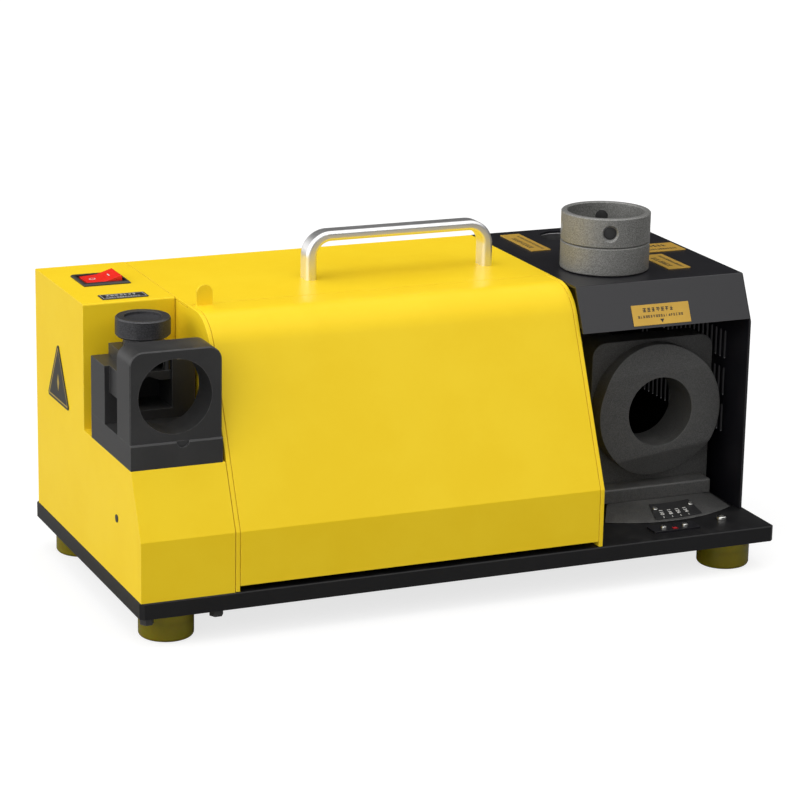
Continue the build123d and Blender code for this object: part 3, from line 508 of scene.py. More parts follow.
# %% Plates and wheels
# The brighter gold given to the plates' edges is a painted highlight.
finishes["gold_plate"] = finish(
    "gold_anodised_label", (0.60, 0.37, 0.055), (0.54, 0.32, 0.045), 0.42, spread=0.15, grain=2600.0, bump=0.12,
    edge=(0.80, 0.58, 0.20), edge_amount=0.5, edge_radius=0.3, Metallic=0.35)
finishes["side_plate"] = finish(
    "dark_printed_plate", (0.020, 0.019, 0.015), (0.027, 0.025, 0.019), 0.40, grain=1800.0, bump=0.1,
    Specular_IOR_Level=0.4)
finishes["scale_plate"] = finish(
    "black_scale_plate", (0.012, 0.012, 0.013), (0.017, 0.017, 0.018), 0.42, grain=1800.0, bump=0.12,
    edge=(0.10, 0.10, 0.10), edge_amount=0.6, edge_radius=0.3)
finishes["abrasive"] = finish(
    "bonded_grit", (0.16, 0.155, 0.15), (0.24, 0.23, 0.22), 0.85, grain=1400.0, bump=0.9, depth=0.3, dusty=0.4)
print("plates and wheels done")

# %% [markdown]
# ### Brushed aluminium
# The carrying handle is satin aluminium. The brushed lines run along it, so a very shallow bump follows
# them. The edges are polished and catch the light.

# %% Brushed aluminium
# The brighter grey given to the handle's edges is a painted highlight.
aluminium = finish(
    "satin_aluminium", (0.86, 0.86, 0.87), (0.91, 0.91, 0.92), 0.36, grain=1800.0, bump=0.06,
    edge=(0.95, 0.95, 0.95), edge_amount=0.5, edge_radius=0.6, Metallic=1.0)
tree = aluminium.node_tree
shader = tree.nodes["Principled BSDF"]
lines = placed(tree, brushed)
line_bump = add(tree, "ShaderNodeBump")
line_bump.inputs["Strength"].default_value = 0.18
line_bump.inputs["Distance"].default_value = 0.03 * MM
tree.links.new(lines.outputs["Lines"], line_bump.inputs["Height"])
tree.links.new(shader.inputs["Normal"].links[0].from_socket, line_bump.inputs["Normal"])
tree.links.new(line_bump.outputs["Normal"], shader.inputs["Normal"])
finishes["aluminium"] = aluminium
print("aluminium done")

# %% [markdown]
# ### Small colours
# Inks and thin lacquers for the prints.

# %% Small colours
black_ink = finish("black_ink", (0.02, 0.018, 0.012), (0.03, 0.027, 0.02), 0.5, grain=3000.0, bump=0.05)
white_ink = finish("white_ink", (0.60, 0.60, 0.58), (0.68, 0.68, 0.66), 0.5, grain=3000.0, bump=0.05)
gold_ink = finish(
    "gold_ink", (0.55, 0.40, 0.07), (0.48, 0.34, 0.06), 0.4, grain=2500.0, bump=0.08, Metallic=0.4)
copper = finish(
    "copper_wire", (0.70, 0.28, 0.12), (0.60, 0.22, 0.09), 0.32, grain=900.0, bump=0.2, Metallic=1.0)
print("inks done")

# %% [markdown]
# ## From CAD solids to pieces
# A CAD mesh has perfectly sharp edges, and real ones never are: a folded sheet, a casting and a turned ring
# all have a small radius that catches a thin line of light. Each visible node is copied, its loose
# triangles are welded, flat areas are dissolved into single faces, and the sharp edges are bevelled. The
# Weighted Normal modifier then keeps the big faces flat while the narrow ones shade smoothly.

# %% Helpers for pieces
SMOOTH_ANGLE = math.radians(35)
FLAT_ANGLE = math.radians(0.6)
SHARP_ANGLE = math.radians(25)
WELD_REACH = 0.002 * MM
FUSE_REACH = 0.004 * MM


def put(name, shape, body, material, weighted=True):
    """Makes an object from a bmesh, gives it a finish and lets it ride on a body."""
    mesh = bpy.data.meshes.new(name)
    shape.to_mesh(mesh)
    shape.free()
    mesh.shade_smooth()
    mesh.set_sharp_from_angle(angle=SMOOTH_ANGLE)
    mesh.materials.clear()
    mesh.materials.append(material)
    piece = bpy.data.objects.new(name, mesh)
    bpy.context.scene.collection.objects.link(piece)
    if weighted:
        flat = piece.modifiers.new("flat faces", "WEIGHTED_NORMAL")
        flat.keep_sharp = True
    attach(piece, body)
    return piece


def welded(*names):
    """The named CAD nodes as one bmesh, with doubles merged and flat areas dissolved."""
    shape = bmesh.new()
    for name in names:
        shape.from_mesh(nodes[name].data)
    bmesh.ops.remove_doubles(shape, verts=shape.verts, dist=WELD_REACH)
    bmesh.ops.dissolve_limit(shape, angle_limit=FLAT_ANGLE, verts=shape.verts, edges=shape.edges)
    return shape


def fused(*names):
    """CAD nodes that are welded flush, as one bmesh: a union leaves no seam between them."""
    sheets = []
    for name in names:
        shape = welded(name)
        mesh = bpy.data.meshes.new(name + "_sheet")
        shape.to_mesh(mesh)
        shape.free()
        sheet = bpy.data.objects.new(name + "_sheet", mesh)
        bpy.context.scene.collection.objects.link(sheet)
        sheets.append(sheet)
    for other in sheets[1:]:
        weld = sheets[0].modifiers.new("weld", "BOOLEAN")
        weld.operation = "UNION"
        weld.solver = "EXACT"
        weld.object = other
    bpy.context.view_layer.update()
    whole = bpy.data.meshes.new_from_object(sheets[0].evaluated_get(bpy.context.evaluated_depsgraph_get()))
    shape = bmesh.new()
    shape.from_mesh(whole)
    bpy.data.meshes.remove(whole)
    for sheet in sheets:
        bpy.data.meshes.remove(sheet.data)
    bmesh.ops.remove_doubles(shape, verts=shape.verts, dist=FUSE_REACH)
    bmesh.ops.dissolve_limit(shape, angle_limit=FLAT_ANGLE, verts=shape.verts, edges=shape.edges)
    return shape


def round_edges(shape, radius):
    """Bevels every sharp edge."""
    sharp = [edge for edge in shape.edges
             if len(edge.link_faces) == 2 and edge.calc_face_angle(0) > SHARP_ANGLE]
    bmesh.ops.bevel(shape, geom=sharp, offset=radius * MM, offset_type="OFFSET", segments=2, profile=0.5,
                    affect="EDGES", clamp_overlap=True, material=-1)


def refined(name, *names, radius=0.3, material=None):
    """A piece that stands for CAD nodes: the same shape with rounded edges."""
    shape = fused(*names) if len(names) > 1 else welded(*names)
    if radius:
        round_edges(shape, radius)
    piece = put(name, shape, body_of[names[0]], material or finishes[slot_of[names[0]]])
    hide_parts(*names)
    return piece


print("helpers ready")

# %% [markdown]
# ### Measuring helpers
# A bmesh of a CAD node can hold several solids. These helpers part them, give their corners, and find the
# outer face of a plate, so that prints and screw heads go where the CAD has them. The last one extrudes a
# loop of edges, which is how the knob, the screw heads and the rocker's ring grow row by row.

# %% Measuring helpers
def islands(shape):
    """The separate solids of a bmesh, as lists of vertices, from low x to high x."""
    left = set(shape.verts)
    found = []
    while left:
        queue = [left.pop()]
        group = []
        while queue:
            vert = queue.pop()
            group.append(vert)
            linked = {edge.other_vert(vert) for edge in vert.link_edges} & left
            left -= linked
            queue.extend(linked)
        found.append(group)
    return sorted(found, key=lambda group: min(vert.co.x for vert in group))


def extent(points):
    """Lowest and highest corner of some points."""
    low = Vector([min(point[axis] for point in points) for axis in range(3)])
    high = Vector([max(point[axis] for point in points) for axis in range(3)])
    return low, high


def outer_faces(name, outward):
    """For each solid of a node, a matrix on its outer face, x to the right and z outwards, and its size."""
    shape = welded(name)
    found = []
    for group in islands(shape):
        faces = {face for vert in group for face in vert.link_faces if face.normal.dot(outward) > 0.3}
        face = max(faces, key=lambda item: item.calc_area())
        out = face.normal.normalized()
        side = Vector((1, 0, 0)) if abs(out.x) < 0.5 else Vector((0, -1, 0))
        rise = out.cross(side).normalized()
        points = [vert.co.copy() for vert in face.verts]
        middle_u = [min(point.dot(side) for point in points), max(point.dot(side) for point in points)]
        middle_v = [min(point.dot(rise) for point in points), max(point.dot(rise) for point in points)]
        centre = side * sum(middle_u) / 2 + rise * sum(middle_v) / 2 + out * face.verts[0].co.dot(out)
        matrix = Matrix((side, rise, out)).transposed().to_4x4()
        matrix.translation = centre
        found.append((matrix, middle_u[1] - middle_u[0], middle_v[1] - middle_v[0]))
    shape.free()
    return found


def extruded(shape, edges):
    """Extrudes a loop of edges; gives the new vertices and the new edges."""
    made = bmesh.ops.extrude_edge_only(shape, edges=edges)["geom"]
    return ([item for item in made if isinstance(item, bmesh.types.BMVert)],
            [item for item in made if isinstance(item, bmesh.types.BMEdge)])


print("measuring helpers ready")

# %% [markdown]
# ## The casing
# The three housings are folded from 1.6 mm sheet. The left one is stepped to make room for the web-thinning
# station, the middle one has a removable front with a large bend, and the right one has its front cut away
# over the point station. Their panels are welded together flush, so a union makes one sheet of them before
# its edges are rounded, and the count of open edges shows that the union is whole.

# %% Housings
for side, names in (("left", ("left_casing", "left_end_panel")),
                    ("right", ("right_cover", "right_slope", "right_back_panel", "right_end_panel"))):
    sheet = refined("casing_" + side, *names, radius=0.3)
    check = bmesh.new()
    check.from_mesh(sheet.data)
    open_edges = sum(not edge.is_manifold for edge in check.edges)
    print("casing", side, len(check.faces), "faces,", open_edges, "open edges")
    check.free()
refined("casing_middle", "main_casing", radius=0.3)
refined("casing_front_cover", "front_cover", radius=0.35)
side_panels = [name for name in nodes if "side_panel" in name]
for name in side_panels:
    refined("casing_" + name, name, radius=0.3)
refined("base", "base_plate", radius=0.35, material=base_coat)

# %% [markdown]
# ## The stations
# Both stations are milled from thick steel and blackened. The edges are broken with a fine chamfer, so a
# slightly larger radius is right here.

# %% Stations
for name in ("thinning_slab", "thinning_ring_plate", "thinning_rear_wall"):
    refined(name + "_machined", name, radius=0.45)
# The right station takes the black that is painted lighter against the shade of its bay.
for name in ("station_block", "station_foot", "swivel_base", "cam_ring"):
    refined(name + "_machined", name, radius=0.45, material=station_black_painted_lighter)
refined("steady_pad_machined", "steady_pad", radius=0.3)
refined("steady_screw_turned", "steady_screw", radius=0.25)
refined("index_plate_machined", "index_plate", radius=0.2)
refined("angle_scale_plate", "angle_scale", radius=0.15)
refined("index_mark_paint", "index_mark", radius=0.05)
refined("locating_pin_turned", "locating_pin", radius=0.3, material=finishes["black_oxide"])
print("stations made")

# %% [markdown]
# ## The knurled knob
# A knurl is rolled into the rim in crossing lines, which leave rows of small diamonds. A ring of vertices is
# extruded row by row, and every other vertex is drawn in, shifted by one from row to row. The plain rings
# above and below it make the chamfers and the shallow dish on top.

# %% Knob
KNURL_POINTS = 144
KNURL_ROWS = 14
KNURL_DEPTH = 0.22 * MM
DISH_RADIUS = 12.2 * MM
DISH_DEPTH = 2.0 * MM
knob_low, knob_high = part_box("steady_knob")
knob_radius = (knob_high.x - knob_low.x) / 2
profile = [(knob_radius - 1.2 * MM, knob_low.z, 0), (knob_radius - 0.1 * MM, knob_low.z + 1.1 * MM, 0)]
knurl_low, knurl_high = knob_low.z + 1.4 * MM, knob_high.z - 1.2 * MM
for row in range(KNURL_ROWS + 1):
    row_height = knurl_low + (knurl_high - knurl_low) * row / KNURL_ROWS
    profile.append((knob_radius - 0.05 * MM, row_height, 1 + row % 2))
profile += [(knob_radius - 0.1 * MM, knob_high.z - 0.9 * MM, 0), (knob_radius - 1.0 * MM, knob_high.z, 0),
            (DISH_RADIUS, knob_high.z, 0), (DISH_RADIUS - 0.2 * MM, knob_high.z - 0.2 * MM, 0),
            (DISH_RADIUS - 0.2 * MM, knob_high.z - DISH_DEPTH + 0.1 * MM, 0),
            (DISH_RADIUS - 0.4 * MM, knob_high.z - DISH_DEPTH, 0)]
knob = bmesh.new()
ring = bmesh.ops.create_circle(knob, segments=KNURL_POINTS, radius=1)["verts"]
for vert in ring:
    vert.co = (*(vert.co.normalized().xy * profile[0][0]), profile[0][1])
edges = bottom_edges = list(knob.edges)
for radius, height, kind in profile[1:]:
    ring, edges = extruded(knob, edges)
    for vert in ring:
        turn_index = round(math.atan2(vert.co.y, vert.co.x) / (2 * math.pi) * KNURL_POINTS)
        drawn_in = KNURL_DEPTH if kind and (turn_index + kind) % 2 else 0
        vert.co = (*(vert.co.xy.normalized() * (radius - drawn_in)), height)
bmesh.ops.contextual_create(knob, geom=edges)
bmesh.ops.contextual_create(knob, geom=bottom_edges)
knob_centre = Vector(((knob_low.x + knob_high.x) / 2, (knob_low.y + knob_high.y) / 2, 0))
bmesh.ops.translate(knob, verts=knob.verts, vec=knob_centre)
bmesh.ops.recalc_face_normals(knob, faces=knob.faces)
knob_piece = put("steady_knob_knurled", knob, body_of["steady_knob"],
                 finishes["knob_black"])
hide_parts("steady_knob")
print("knurled knob", len(knob_piece.data.polygons), "faces")

# %% [markdown]
# ## A dark sheet behind the left station
# A black sheet closes the passage behind the steady pad. It is painted shade: a dark sheet put where the
# passage would show only shade. It has two halves with a slit between them. Each half is a small grid stood
# upright behind the wall. Its inner edge is drawn back a little, and it is then given its thickness.

# %% Painted shade sheet
wall_low, wall_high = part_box("thinning_rear_wall")
knob_x = (knob_low.x + knob_high.x) / 2
SHADE_SHEET_HALF_WIDTH = 17.0 * MM
SHADE_SHEET_SLIT = 0.3 * MM
SHADE_SHEET_THICKNESS = 0.8 * MM
SHADE_SHEET_DRAW = 1.2 * MM
shade_sheet_low, shade_sheet_high = wall_low.z + 4.0 * MM, wall_high.z - 3.0 * MM
# Painted shade: a dark sheet that stands for the shade behind the passage.
shade_sheet = bmesh.new()
for side in (-1, 1):
    half_width = (SHADE_SHEET_HALF_WIDTH - SHADE_SHEET_SLIT) / 2
    middle_x = knob_x + side * (SHADE_SHEET_SLIT + half_width)
    upright = Matrix.Translation((middle_x, wall_high.y + 0.2 * MM, (shade_sheet_low + shade_sheet_high) / 2))
    upright = upright @ Matrix.Rotation(math.pi / 2, 4, "X")
    upright = upright @ Matrix.Diagonal((half_width, (shade_sheet_high - shade_sheet_low) / 2, 1, 1))
    half = bmesh.ops.create_grid(shade_sheet, x_segments=8, y_segments=12, size=1, matrix=upright)["verts"]
    for vert in half:
        inward = 1 - abs(vert.co.x - knob_x) / SHADE_SHEET_HALF_WIDTH
        vert.co.y += SHADE_SHEET_DRAW * inward ** 2
bmesh.ops.recalc_face_normals(shade_sheet, faces=shade_sheet.faces)
bmesh.ops.solidify(shade_sheet, geom=list(shade_sheet.faces), thickness=SHADE_SHEET_THICKNESS)
shortfall = wall_high.y + 0.1 * MM - min(vert.co.y for vert in shade_sheet.verts)
bmesh.ops.translate(shade_sheet, verts=shade_sheet.verts, vec=(0, shortfall, 0))
bmesh.ops.recalc_face_normals(shade_sheet, faces=shade_sheet.faces)
shade_sheet_piece = put("painted_shade_sheet", shade_sheet, "machine", finishes["black_plastic"],
                    weighted=False)
shade_sheet_corners = extent([vert.co for vert in shade_sheet_piece.data.vertices])
print("painted shade sheet", [round(value, 4) for corner in shade_sheet_corners for value in corner])

# %% [markdown]
# ## Handle, feet, switch and chuck
# These keep the CAD shape with soft edges: a bar bent to a carrying handle, four cast polyurethane feet, the
# rocker in its bezel, and the turned rings of the chuck.

# %% Handle, feet, switch and chuck
refined("carrying_handle", "handle", radius=0)
refined("cast_feet", "feet", radius=0.4)
refined("switch_frame", "switch_bezel", radius=0.3)
refined("rocker_cap", "switch_rocker", radius=0.3)
refined("inlet_socket_body", "power_inlet", radius=0.25)
refined("chuck_body_turned", "chuck_body", radius=0.25)
refined("chuck_ring_turned", "chuck_ring", radius=0.2)
refined("collet_turned", "collet", radius=0.2)
for name in ("chuck_port_sleeve", "small_port_sleeve"):
    refined(name + "_turned", name, radius=0.3)

# %% [markdown]
# ## Shade discs in the chuck's ring
# Four radial holes take the spanner that turns the ring. A dark disc sits at the bottom of each one, as
# painted shade for the dark depth of the hole. It is a short disc whose outer rim is bevelled, made once on
# the Z axis and turned into its hole.

# %% Hole shade discs
ring_low, ring_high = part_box("chuck_ring")
ring_centre = (ring_low + ring_high) / 2
ring_radius = (ring_high.x - ring_low.x) / 2
FIRST_HOLE = math.radians(-111)
HOLE_COUNT = 4
HOLE_WALL = (0.85 * MM, 2.05 * MM)
SHADE_DISC_RADIUS = 4.38 * MM
SHADE_DISC_LENGTH = 0.8 * MM
SHADE_DISC_SEAT = 3.45 * MM
hole_heights = [vert.co.z for vert in nodes["chuck_ring"].data.vertices
                if HOLE_WALL[1] > ring_radius - (vert.co - ring_centre).xy.length > HOLE_WALL[0]]
ring_centre.z = (min(hole_heights) + max(hole_heights)) / 2
# Painted shade: dark discs at the bottom of the holes.
hole_shade_discs = bmesh.new()
for number in range(HOLE_COUNT):
    bearing = FIRST_HOLE + number * math.pi / 2
    outward = Matrix.Rotation(bearing, 4, "Z") @ Matrix.Rotation(math.pi / 2, 4, "Y")
    seat = Matrix.Translation(ring_centre) @ outward @ Matrix.Translation((0, 0, ring_radius - SHADE_DISC_SEAT))
    before = set(hole_shade_discs.faces)
    bmesh.ops.create_cone(hole_shade_discs, cap_ends=True, segments=40, radius1=SHADE_DISC_RADIUS, radius2=SHADE_DISC_RADIUS,
                          depth=SHADE_DISC_LENGTH, matrix=seat)
    rim = {edge for face in set(hole_shade_discs.faces) - before if len(face.verts) > 4 for edge in face.edges}
    bmesh.ops.bevel(hole_shade_discs, geom=list(rim), offset=0.25 * MM, segments=2, profile=0.5, affect="EDGES",
                    material=-1)
put("ring_hole_shade_discs", hole_shade_discs, "chuck_ring", finishes["black_oxide"], weighted=False)

# %% [markdown]
# ## Screws
# Small socket-head screws show as bright dots. Each head is a disc whose rim is drawn in over a few extrusions,
# like a turned dome. The top ring is then pulled into a hexagon and pushed down to make the socket.

# %% Socket heads
HEAD_SEGMENTS = 36
HEAD_HEIGHT = 0.62
SOCKET_REACH = 0.44


def socket_head(shape, place, radius, height):
    """A domed head with a hexagon socket; the place is a matrix on the seat, z along the screw."""
    ring = bmesh.ops.create_circle(shape, cap_ends=False, segments=HEAD_SEGMENTS, radius=radius)["verts"]
    everything = list(ring)
    edges = list({edge for vert in ring for edge in vert.link_edges})
    for rise, reach in ((0.55, 1.0), (0.82, 0.95), (1.0, 0.80), (1.0, 0.56)):
        ring, edges = extruded(shape, edges)
        for vert in ring:
            flat = Vector((vert.co.x, vert.co.y, 0)).normalized() * radius * reach
            vert.co = (flat.x, flat.y, rise * height)
        everything += ring
    for drop in (0.0, 0.6):
        ring, edges = extruded(shape, edges)
        for vert in ring:
            angle = math.atan2(vert.co.y, vert.co.x) % (math.pi / 3) - math.pi / 6
            reach = SOCKET_REACH * radius / math.cos(angle)
            flat = Vector((vert.co.x, vert.co.y, 0)).normalized() * reach
            vert.co = (flat.x, flat.y, height * (1 - drop))
        everything += ring
    bmesh.ops.contextual_create(shape, geom=edges)
    bmesh.ops.transform(shape, matrix=place, verts=everything)


def screw_heads(name, node):
    """Socket heads in place of the CAD screws of one node, one for each solid."""
    source = welded(node)
    shape = bmesh.new()
    for group in islands(source):
        low, high = extent([vert.co for vert in group])
        radius = (high.x - low.x) / 2
        place = Matrix.Translation(((low.x + high.x) / 2, (low.y + high.y) / 2, high.z - HEAD_HEIGHT * radius))
        socket_head(shape, place, radius, HEAD_HEIGHT * radius)
    source.free()
    bmesh.ops.recalc_face_normals(shape, faces=shape.faces)
    piece = put(name, shape, body_of[node], finishes[slot_of[node]], weighted=False)
    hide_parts(node)


screw_heads("index_screw_heads", "index_screws")
screw_heads("base_screw_head", "base_screw")
for name in ("scale_screws", "panel_screw", "pivot_bolt", "underside_screws"):
    refined(name + "_turned", name, radius=0.15)
print("screws made")

# %% [markdown]
# ## Labels and prints
# The labels are thin gold plates. Where their words would be they carry rows of small groups of bars, up to
# three level ones and an upright one, drawn at random, so that nothing is spelled. The front plate also has
# an arrow. The bars are thin solids laid on each plate's outer face.

# %% Printed rows
INK = 0.03 * MM


def printed_bar(shape, matrix, x, y, width, height):
    """One bar of ink; x and y are its centre on the plate."""
    local = Matrix.Translation((x, y, INK / 2)) @ Matrix.Diagonal((width, height, INK, 1))
    bmesh.ops.create_cube(shape, size=1, matrix=matrix @ local)


def printed_row(shape, matrix, y, width, height, pitch, chance):
    """A row of short bars, like the words of a label seen from afar."""
    x = -width / 2
    while x < width / 2 - pitch:
        length = pitch * chance.uniform(0.55, 0.85)
        for level in (-0.34, 0.0, 0.34):
            if chance.random() < 0.8:
                printed_bar(shape, matrix, x + length / 2, y + level * height, length, height * 0.2)
        printed_bar(shape, matrix, x + length * chance.uniform(0.3, 0.7), y, height * 0.18, height * 0.9)
        x += pitch


def printed_rows(shape, matrix, width, height, rows, chance):
    """Rows of bars; each has its place, width and height as shares of the plate, and its pitch."""
    for rise, wide, tall, pitch in rows:
        printed_row(shape, matrix, height * rise, width * wide, height * tall, pitch, chance)


def printed_arrow(shape, matrix, y, size):
    """A small solid arrowhead that points down the plate."""
    local = Matrix.Translation((0, y, INK / 2)) @ Matrix.Rotation(math.pi, 4, "Z")
    bmesh.ops.create_cone(shape, cap_ends=True, segments=3, radius1=size, radius2=size, depth=INK,
                          matrix=matrix @ local)


SLOPED_ROWS = ((0.24, 0.62, 0.22, 3.4 * MM), (-0.08, 0.82, 0.14, 1.9 * MM))
LEVEL_ROWS = ((0.20, 0.66, 0.26, 3.3 * MM), (-0.22, 0.84, 0.16, 1.9 * MM))
refined("gold_labels", "label_plates", radius=0.1)
chance = random.Random(12)
prints = bmesh.new()
for matrix, width, height in outer_faces("label_plates", Vector((0, -0.1, 1))):
    sloped = matrix.col[2].z < 0.9
    if height > width:
        matrix = matrix @ Matrix.Rotation(math.pi / 2, 4, "Z")
        width, height = height, width
    if sloped:
        printed_rows(prints, matrix, width, height, SLOPED_ROWS, chance)
        printed_arrow(prints, matrix, -height * 0.30, 1.7 * MM)
    else:
        printed_rows(prints, matrix, width, height, LEVEL_ROWS, chance)
bmesh.ops.recalc_face_normals(prints, faces=prints.faces)
put("label_prints", prints, "machine", black_ink, weighted=False)

# %% [markdown]
# ### Plate beside the switch
# The small dark plate in front of the rocker has the same kind of rows in white, inside a thin frame of four
# long bars.

# %% Plate beside the switch
SWITCH_ROWS = ((0.18, 0.7, 0.26, 3.0 * MM), (-0.24, 0.8, 0.16, 1.8 * MM))
FRAME_LINE = 0.3 * MM
refined("switch_plate_dark", "switch_plate", radius=0.1)
prints = bmesh.new()
for matrix, width, height in outer_faces("switch_plate", Vector((0, 0, 1))):
    printed_rows(prints, matrix, width, height, SWITCH_ROWS, chance)
    for side in (-1, 1):
        printed_bar(prints, matrix, side * width * 0.46, 0, FRAME_LINE, height * 0.84)
        printed_bar(prints, matrix, 0, side * height * 0.42, width * 0.92, FRAME_LINE)
bmesh.ops.recalc_face_normals(prints, faces=prints.faces)
put("switch_plate_prints", prints, "machine", white_ink, weighted=False)
print("switch plate printed")

# %% [markdown]
# ## The triangle on the left side
# A dark three-cornered plate with a thin gold line inside its rim. Insetting its outer face twice leaves a
# rim and a narrow band that takes the gold, and the inner face is pressed in a little. Clearing a mesh's
# materials sets its faces back to the first one, so the band is given its finish last. A plain gold lozenge
# fills the middle.

# %% Triangle plate
TRIANGLE_RIM = 1.5 * MM
GOLD_LINE = 0.9 * MM
PRESSED_IN = 0.10 * MM
LOZENGE_RADIUS = 4.0 * MM
LOZENGE_STRETCH = (1.5, 0.6, 1, 1)
triangle = welded("side_plate")
outer = max((face for face in triangle.faces if face.normal.x < -0.9), key=lambda face: face.calc_area())
bmesh.ops.inset_region(triangle, faces=[outer], thickness=TRIANGLE_RIM, use_even_offset=True)
line = bmesh.ops.inset_region(triangle, faces=[outer], thickness=GOLD_LINE, use_even_offset=True)["faces"]
bmesh.ops.translate(triangle, verts=outer.verts, vec=(PRESSED_IN, 0, 0))
centre = outer.calc_center_median()
triangle.faces.index_update()
line_faces = [face.index for face in line]
triangle_plate = put("triangle_plate", triangle, body_of["side_plate"],
                     finishes["side_plate"])
triangle_plate.data.materials.append(gold_ink)
for number in line_faces:
    triangle_plate.data.polygons[number].material_index = 1
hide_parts("side_plate")
lozenge = bmesh.new()
lozenge_place = Matrix.Translation(centre) @ Matrix.Rotation(-math.pi / 2, 4, "Y")
lozenge_place = lozenge_place @ Matrix.Diagonal(LOZENGE_STRETCH)
bmesh.ops.create_cone(lozenge, cap_ends=True, segments=4, radius1=LOZENGE_RADIUS, radius2=LOZENGE_RADIUS,
                      depth=2 * INK, matrix=lozenge_place)
put("triangle_lozenge", lozenge, body_of["side_plate"], gold_ink, weighted=False)
print("triangle plate made")

# %% [markdown]
# ## The angle scale
# The black scale lies on the bevelled rim of the swivel. It has a mark about every four degrees, and beside
# each mark its drill point angle, written along the radius. The plate's own points give the cone's radii
# and slope, and the joint gives its axis. A number starts as text, becomes a mesh and is then laid on the cone.

# %% Scale marks
pivot = Vector(joint_of["station_swivel"]["pos_m"])
scale_points = [vert.co - pivot for vert in nodes["angle_scale"].data.vertices]
outer_point = max(scale_points, key=lambda point: point.xy.length)
inner_point = max(scale_points, key=lambda point: point.z)
outer_radius, outer_height = outer_point.xy.length, outer_point.z + pivot.z
inner_radius, inner_height = inner_point.xy.length, inner_point.z + pivot.z
slope = math.atan2(inner_height - outer_height, outer_radius - inner_radius)
index_low, index_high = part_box("index_mark")
index = (index_low + index_high) / 2
FIRST_MARK = math.atan2(index.x - pivot.x, pivot.y - index.y) + math.radians(0.5)
MARK_STEP = math.radians(4.1)
POINT_ANGLES = (110, 118, 126, 134)
NUMBER_SIZE = 3.7 * MM
NUMBER_SHARE = 0.40
TICK_SHARE = 0.08
TICK_LENGTH, TICK_WIDTH = 1.6 * MM, 0.45 * MM
PRINT_LIFT = 0.02 * MM


def on_scale(angle, share):
    """Matrix on the scale's face: x outwards along the radius, z off the cone; share runs from outside in."""
    radial = Vector((math.sin(angle), -math.cos(angle), 0))
    tangent = Vector((math.cos(angle), math.sin(angle), 0))
    down = radial * math.cos(slope) - Vector((0, 0, math.sin(slope)))
    out = down.cross(tangent)
    if out.z < 0:
        out.negate()
    sideways = out.cross(down)
    radius = outer_radius + (inner_radius - outer_radius) * share
    height = outer_height + (inner_height - outer_height) * share + PRINT_LIFT
    matrix = Matrix((down, sideways, out)).transposed().to_4x4()
    matrix.translation = Vector((pivot.x, pivot.y, 0)) + radial * radius + Vector((0, 0, height))
    return matrix


marks = bmesh.new()
for number, value in enumerate(POINT_ANGLES):
    angle = FIRST_MARK + number * MARK_STEP
    text = bpy.data.curves.new("number", "FONT")
    text.body = str(value)
    text.size = NUMBER_SIZE
    text.align_x = "CENTER"
    text.align_y = "CENTER"
    text.extrude = INK / 2
    text.offset = 0.08 * MM
    writing = bpy.data.objects.new("number", text)
    bpy.context.scene.collection.objects.link(writing)
    bpy.context.view_layer.update()
    flat = bpy.data.meshes.new_from_object(writing)
    before = len(marks.verts)
    marks.from_mesh(flat)
    marks.verts.ensure_lookup_table()
    bmesh.ops.transform(marks, matrix=on_scale(angle, NUMBER_SHARE), verts=marks.verts[before:])
    bpy.data.objects.remove(writing)
    bpy.data.meshes.remove(flat)
    printed_bar(marks, on_scale(angle, TICK_SHARE), 0, 0, TICK_LENGTH, TICK_WIDTH)
put("scale_numbers", marks, "point_station", white_ink, weighted=False)
print("scale marks", len(POINT_ANGLES), "slope", round(math.degrees(slope), 1))

# %% [markdown]
# ## Marks on the rocker
# A bar and a ring show on and off. They are moulded a hair proud of the rocker, one on each half.

# %% Rocker marks
rocker_low, rocker_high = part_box("switch_rocker")
OFF_RING_RADIUS = 2.2 * MM
OFF_RING_BORE = 0.72
ON_BAR_WIDTH, ON_BAR_LENGTH = 0.7 * MM, 4.6 * MM
rocker_faces = welded("switch_rocker")
marks = bmesh.new()
upper = sorted((face for face in rocker_faces.faces if face.normal.z > 0.8),
               key=lambda face: -face.calc_area())[:2]
for face in sorted(upper, key=lambda item: item.calc_center_median().x):
    out = face.normal.normalized()
    back = Vector((0, 1, 0))
    across = back.cross(out)
    matrix = Matrix((across, back, out)).transposed().to_4x4()
    matrix.translation = face.calc_center_bounds()
    if face.calc_center_median().x < (rocker_low.x + rocker_high.x) / 2:
        ring = bmesh.ops.create_circle(marks, segments=32, radius=OFF_RING_RADIUS)["verts"]
        edges = list({edge for vert in ring for edge in vert.link_edges})
        inner, _ = extruded(marks, edges)
        bmesh.ops.scale(marks, verts=inner, vec=(OFF_RING_BORE, OFF_RING_BORE, 1))
        bmesh.ops.translate(marks, verts=ring + inner, vec=(0, 0, INK))
        bmesh.ops.transform(marks, matrix=matrix, verts=ring + inner)
    else:
        printed_bar(marks, matrix, 0, 0, ON_BAR_WIDTH, ON_BAR_LENGTH)
rocker_faces.free()
put("rocker_marks", marks, "rocker", white_ink, weighted=False)
print("rocker marked")

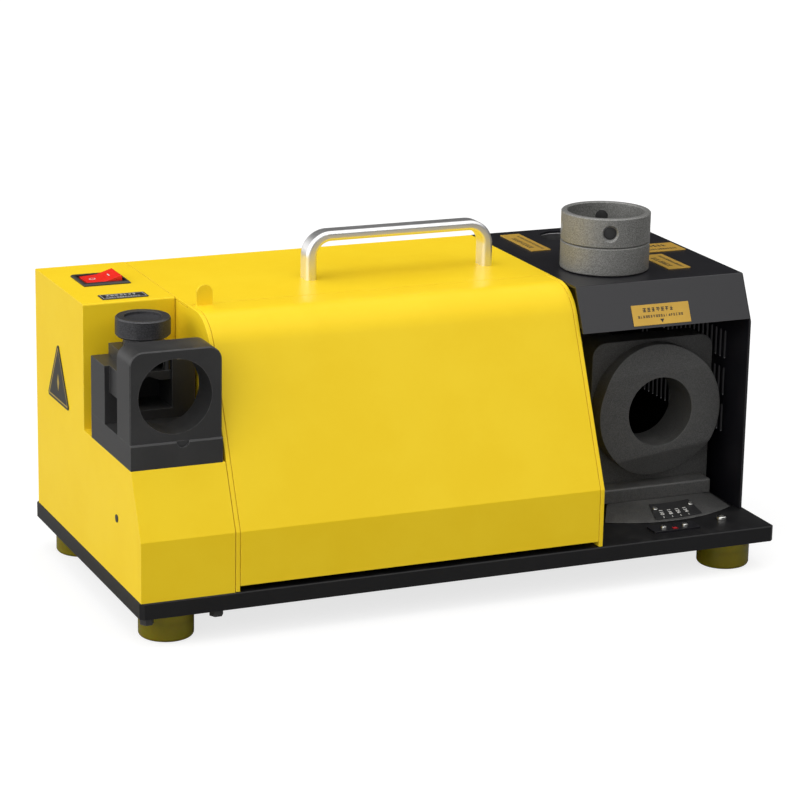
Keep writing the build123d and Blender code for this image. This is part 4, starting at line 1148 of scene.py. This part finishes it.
# %% [markdown]
# ## The motor's windings
# With the front cover lifted the motor shows. The copper of its windings stands out of the stator at both
# ends as a fat ring, laced into bundles. A circle is spun round the spindle's axis and swollen in waves.

# %% Windings
stator_low, stator_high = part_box("stator_core")
rotor_low, rotor_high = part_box("rotor")
spindle_low, spindle_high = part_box("spindle")
axis_y = (spindle_low.y + spindle_high.y) / 2
axis_z = (spindle_low.z + spindle_high.z) / 2
BUNDLES = 24
ROTOR_GAP = 3 * MM
HOUSING_GAP = 4 * MM
winding_inner = (rotor_high.z - rotor_low.z) / 2 + ROTOR_GAP
winding_outer = (stator_high.z - stator_low.z) / 2 - HOUSING_GAP
windings = bmesh.new()
for side, start_x in ((-1, stator_low.x), (1, stator_high.x)):
    fat = (winding_outer - winding_inner) / 2
    centre = Vector((start_x + side * (fat + 0.2 * MM), axis_y, axis_z))
    radius = (winding_outer + winding_inner) / 2
    section = Matrix.Translation(centre + Vector((0, 0, radius))) @ Matrix.Rotation(math.pi / 2, 4, "X")
    ring = bmesh.ops.create_circle(windings, segments=14, radius=fat, matrix=section)["verts"]
    edges = list({edge for vert in ring for edge in vert.link_edges})
    before = set(windings.verts) - set(ring)
    bmesh.ops.spin(windings, geom=ring + edges, cent=centre, axis=(1, 0, 0), angle=2 * math.pi, steps=96,
                   use_merge=True, use_duplicate=False)
    for vert in set(windings.verts) - before:
        turned_by = math.atan2(vert.co.z - axis_z, vert.co.y - axis_y)
        middle_of_wire = centre + Vector((0, math.cos(turned_by), math.sin(turned_by))) * radius
        swell = 0.90 + 0.10 * abs(math.sin(turned_by * BUNDLES / 2))
        vert.co = middle_of_wire + (vert.co - middle_of_wire) * swell
bmesh.ops.recalc_face_normals(windings, faces=windings.faces)
put("motor_windings", windings, "machine", copper, weighted=False)

# %% [markdown]
# ## The rest of the CAD model
# What is left, mostly inside the casing, keeps its CAD shape and gets the finish of its slot.

# %% Finishes for the CAD nodes
for name, node in nodes.items():
    if not node.material_slots:
        node.data.materials.append(finishes[slot_of[name]])
    for material_slot in node.material_slots:
        material_slot.material = finishes[slot_of[name]]
print("finished", len(nodes), "nodes")
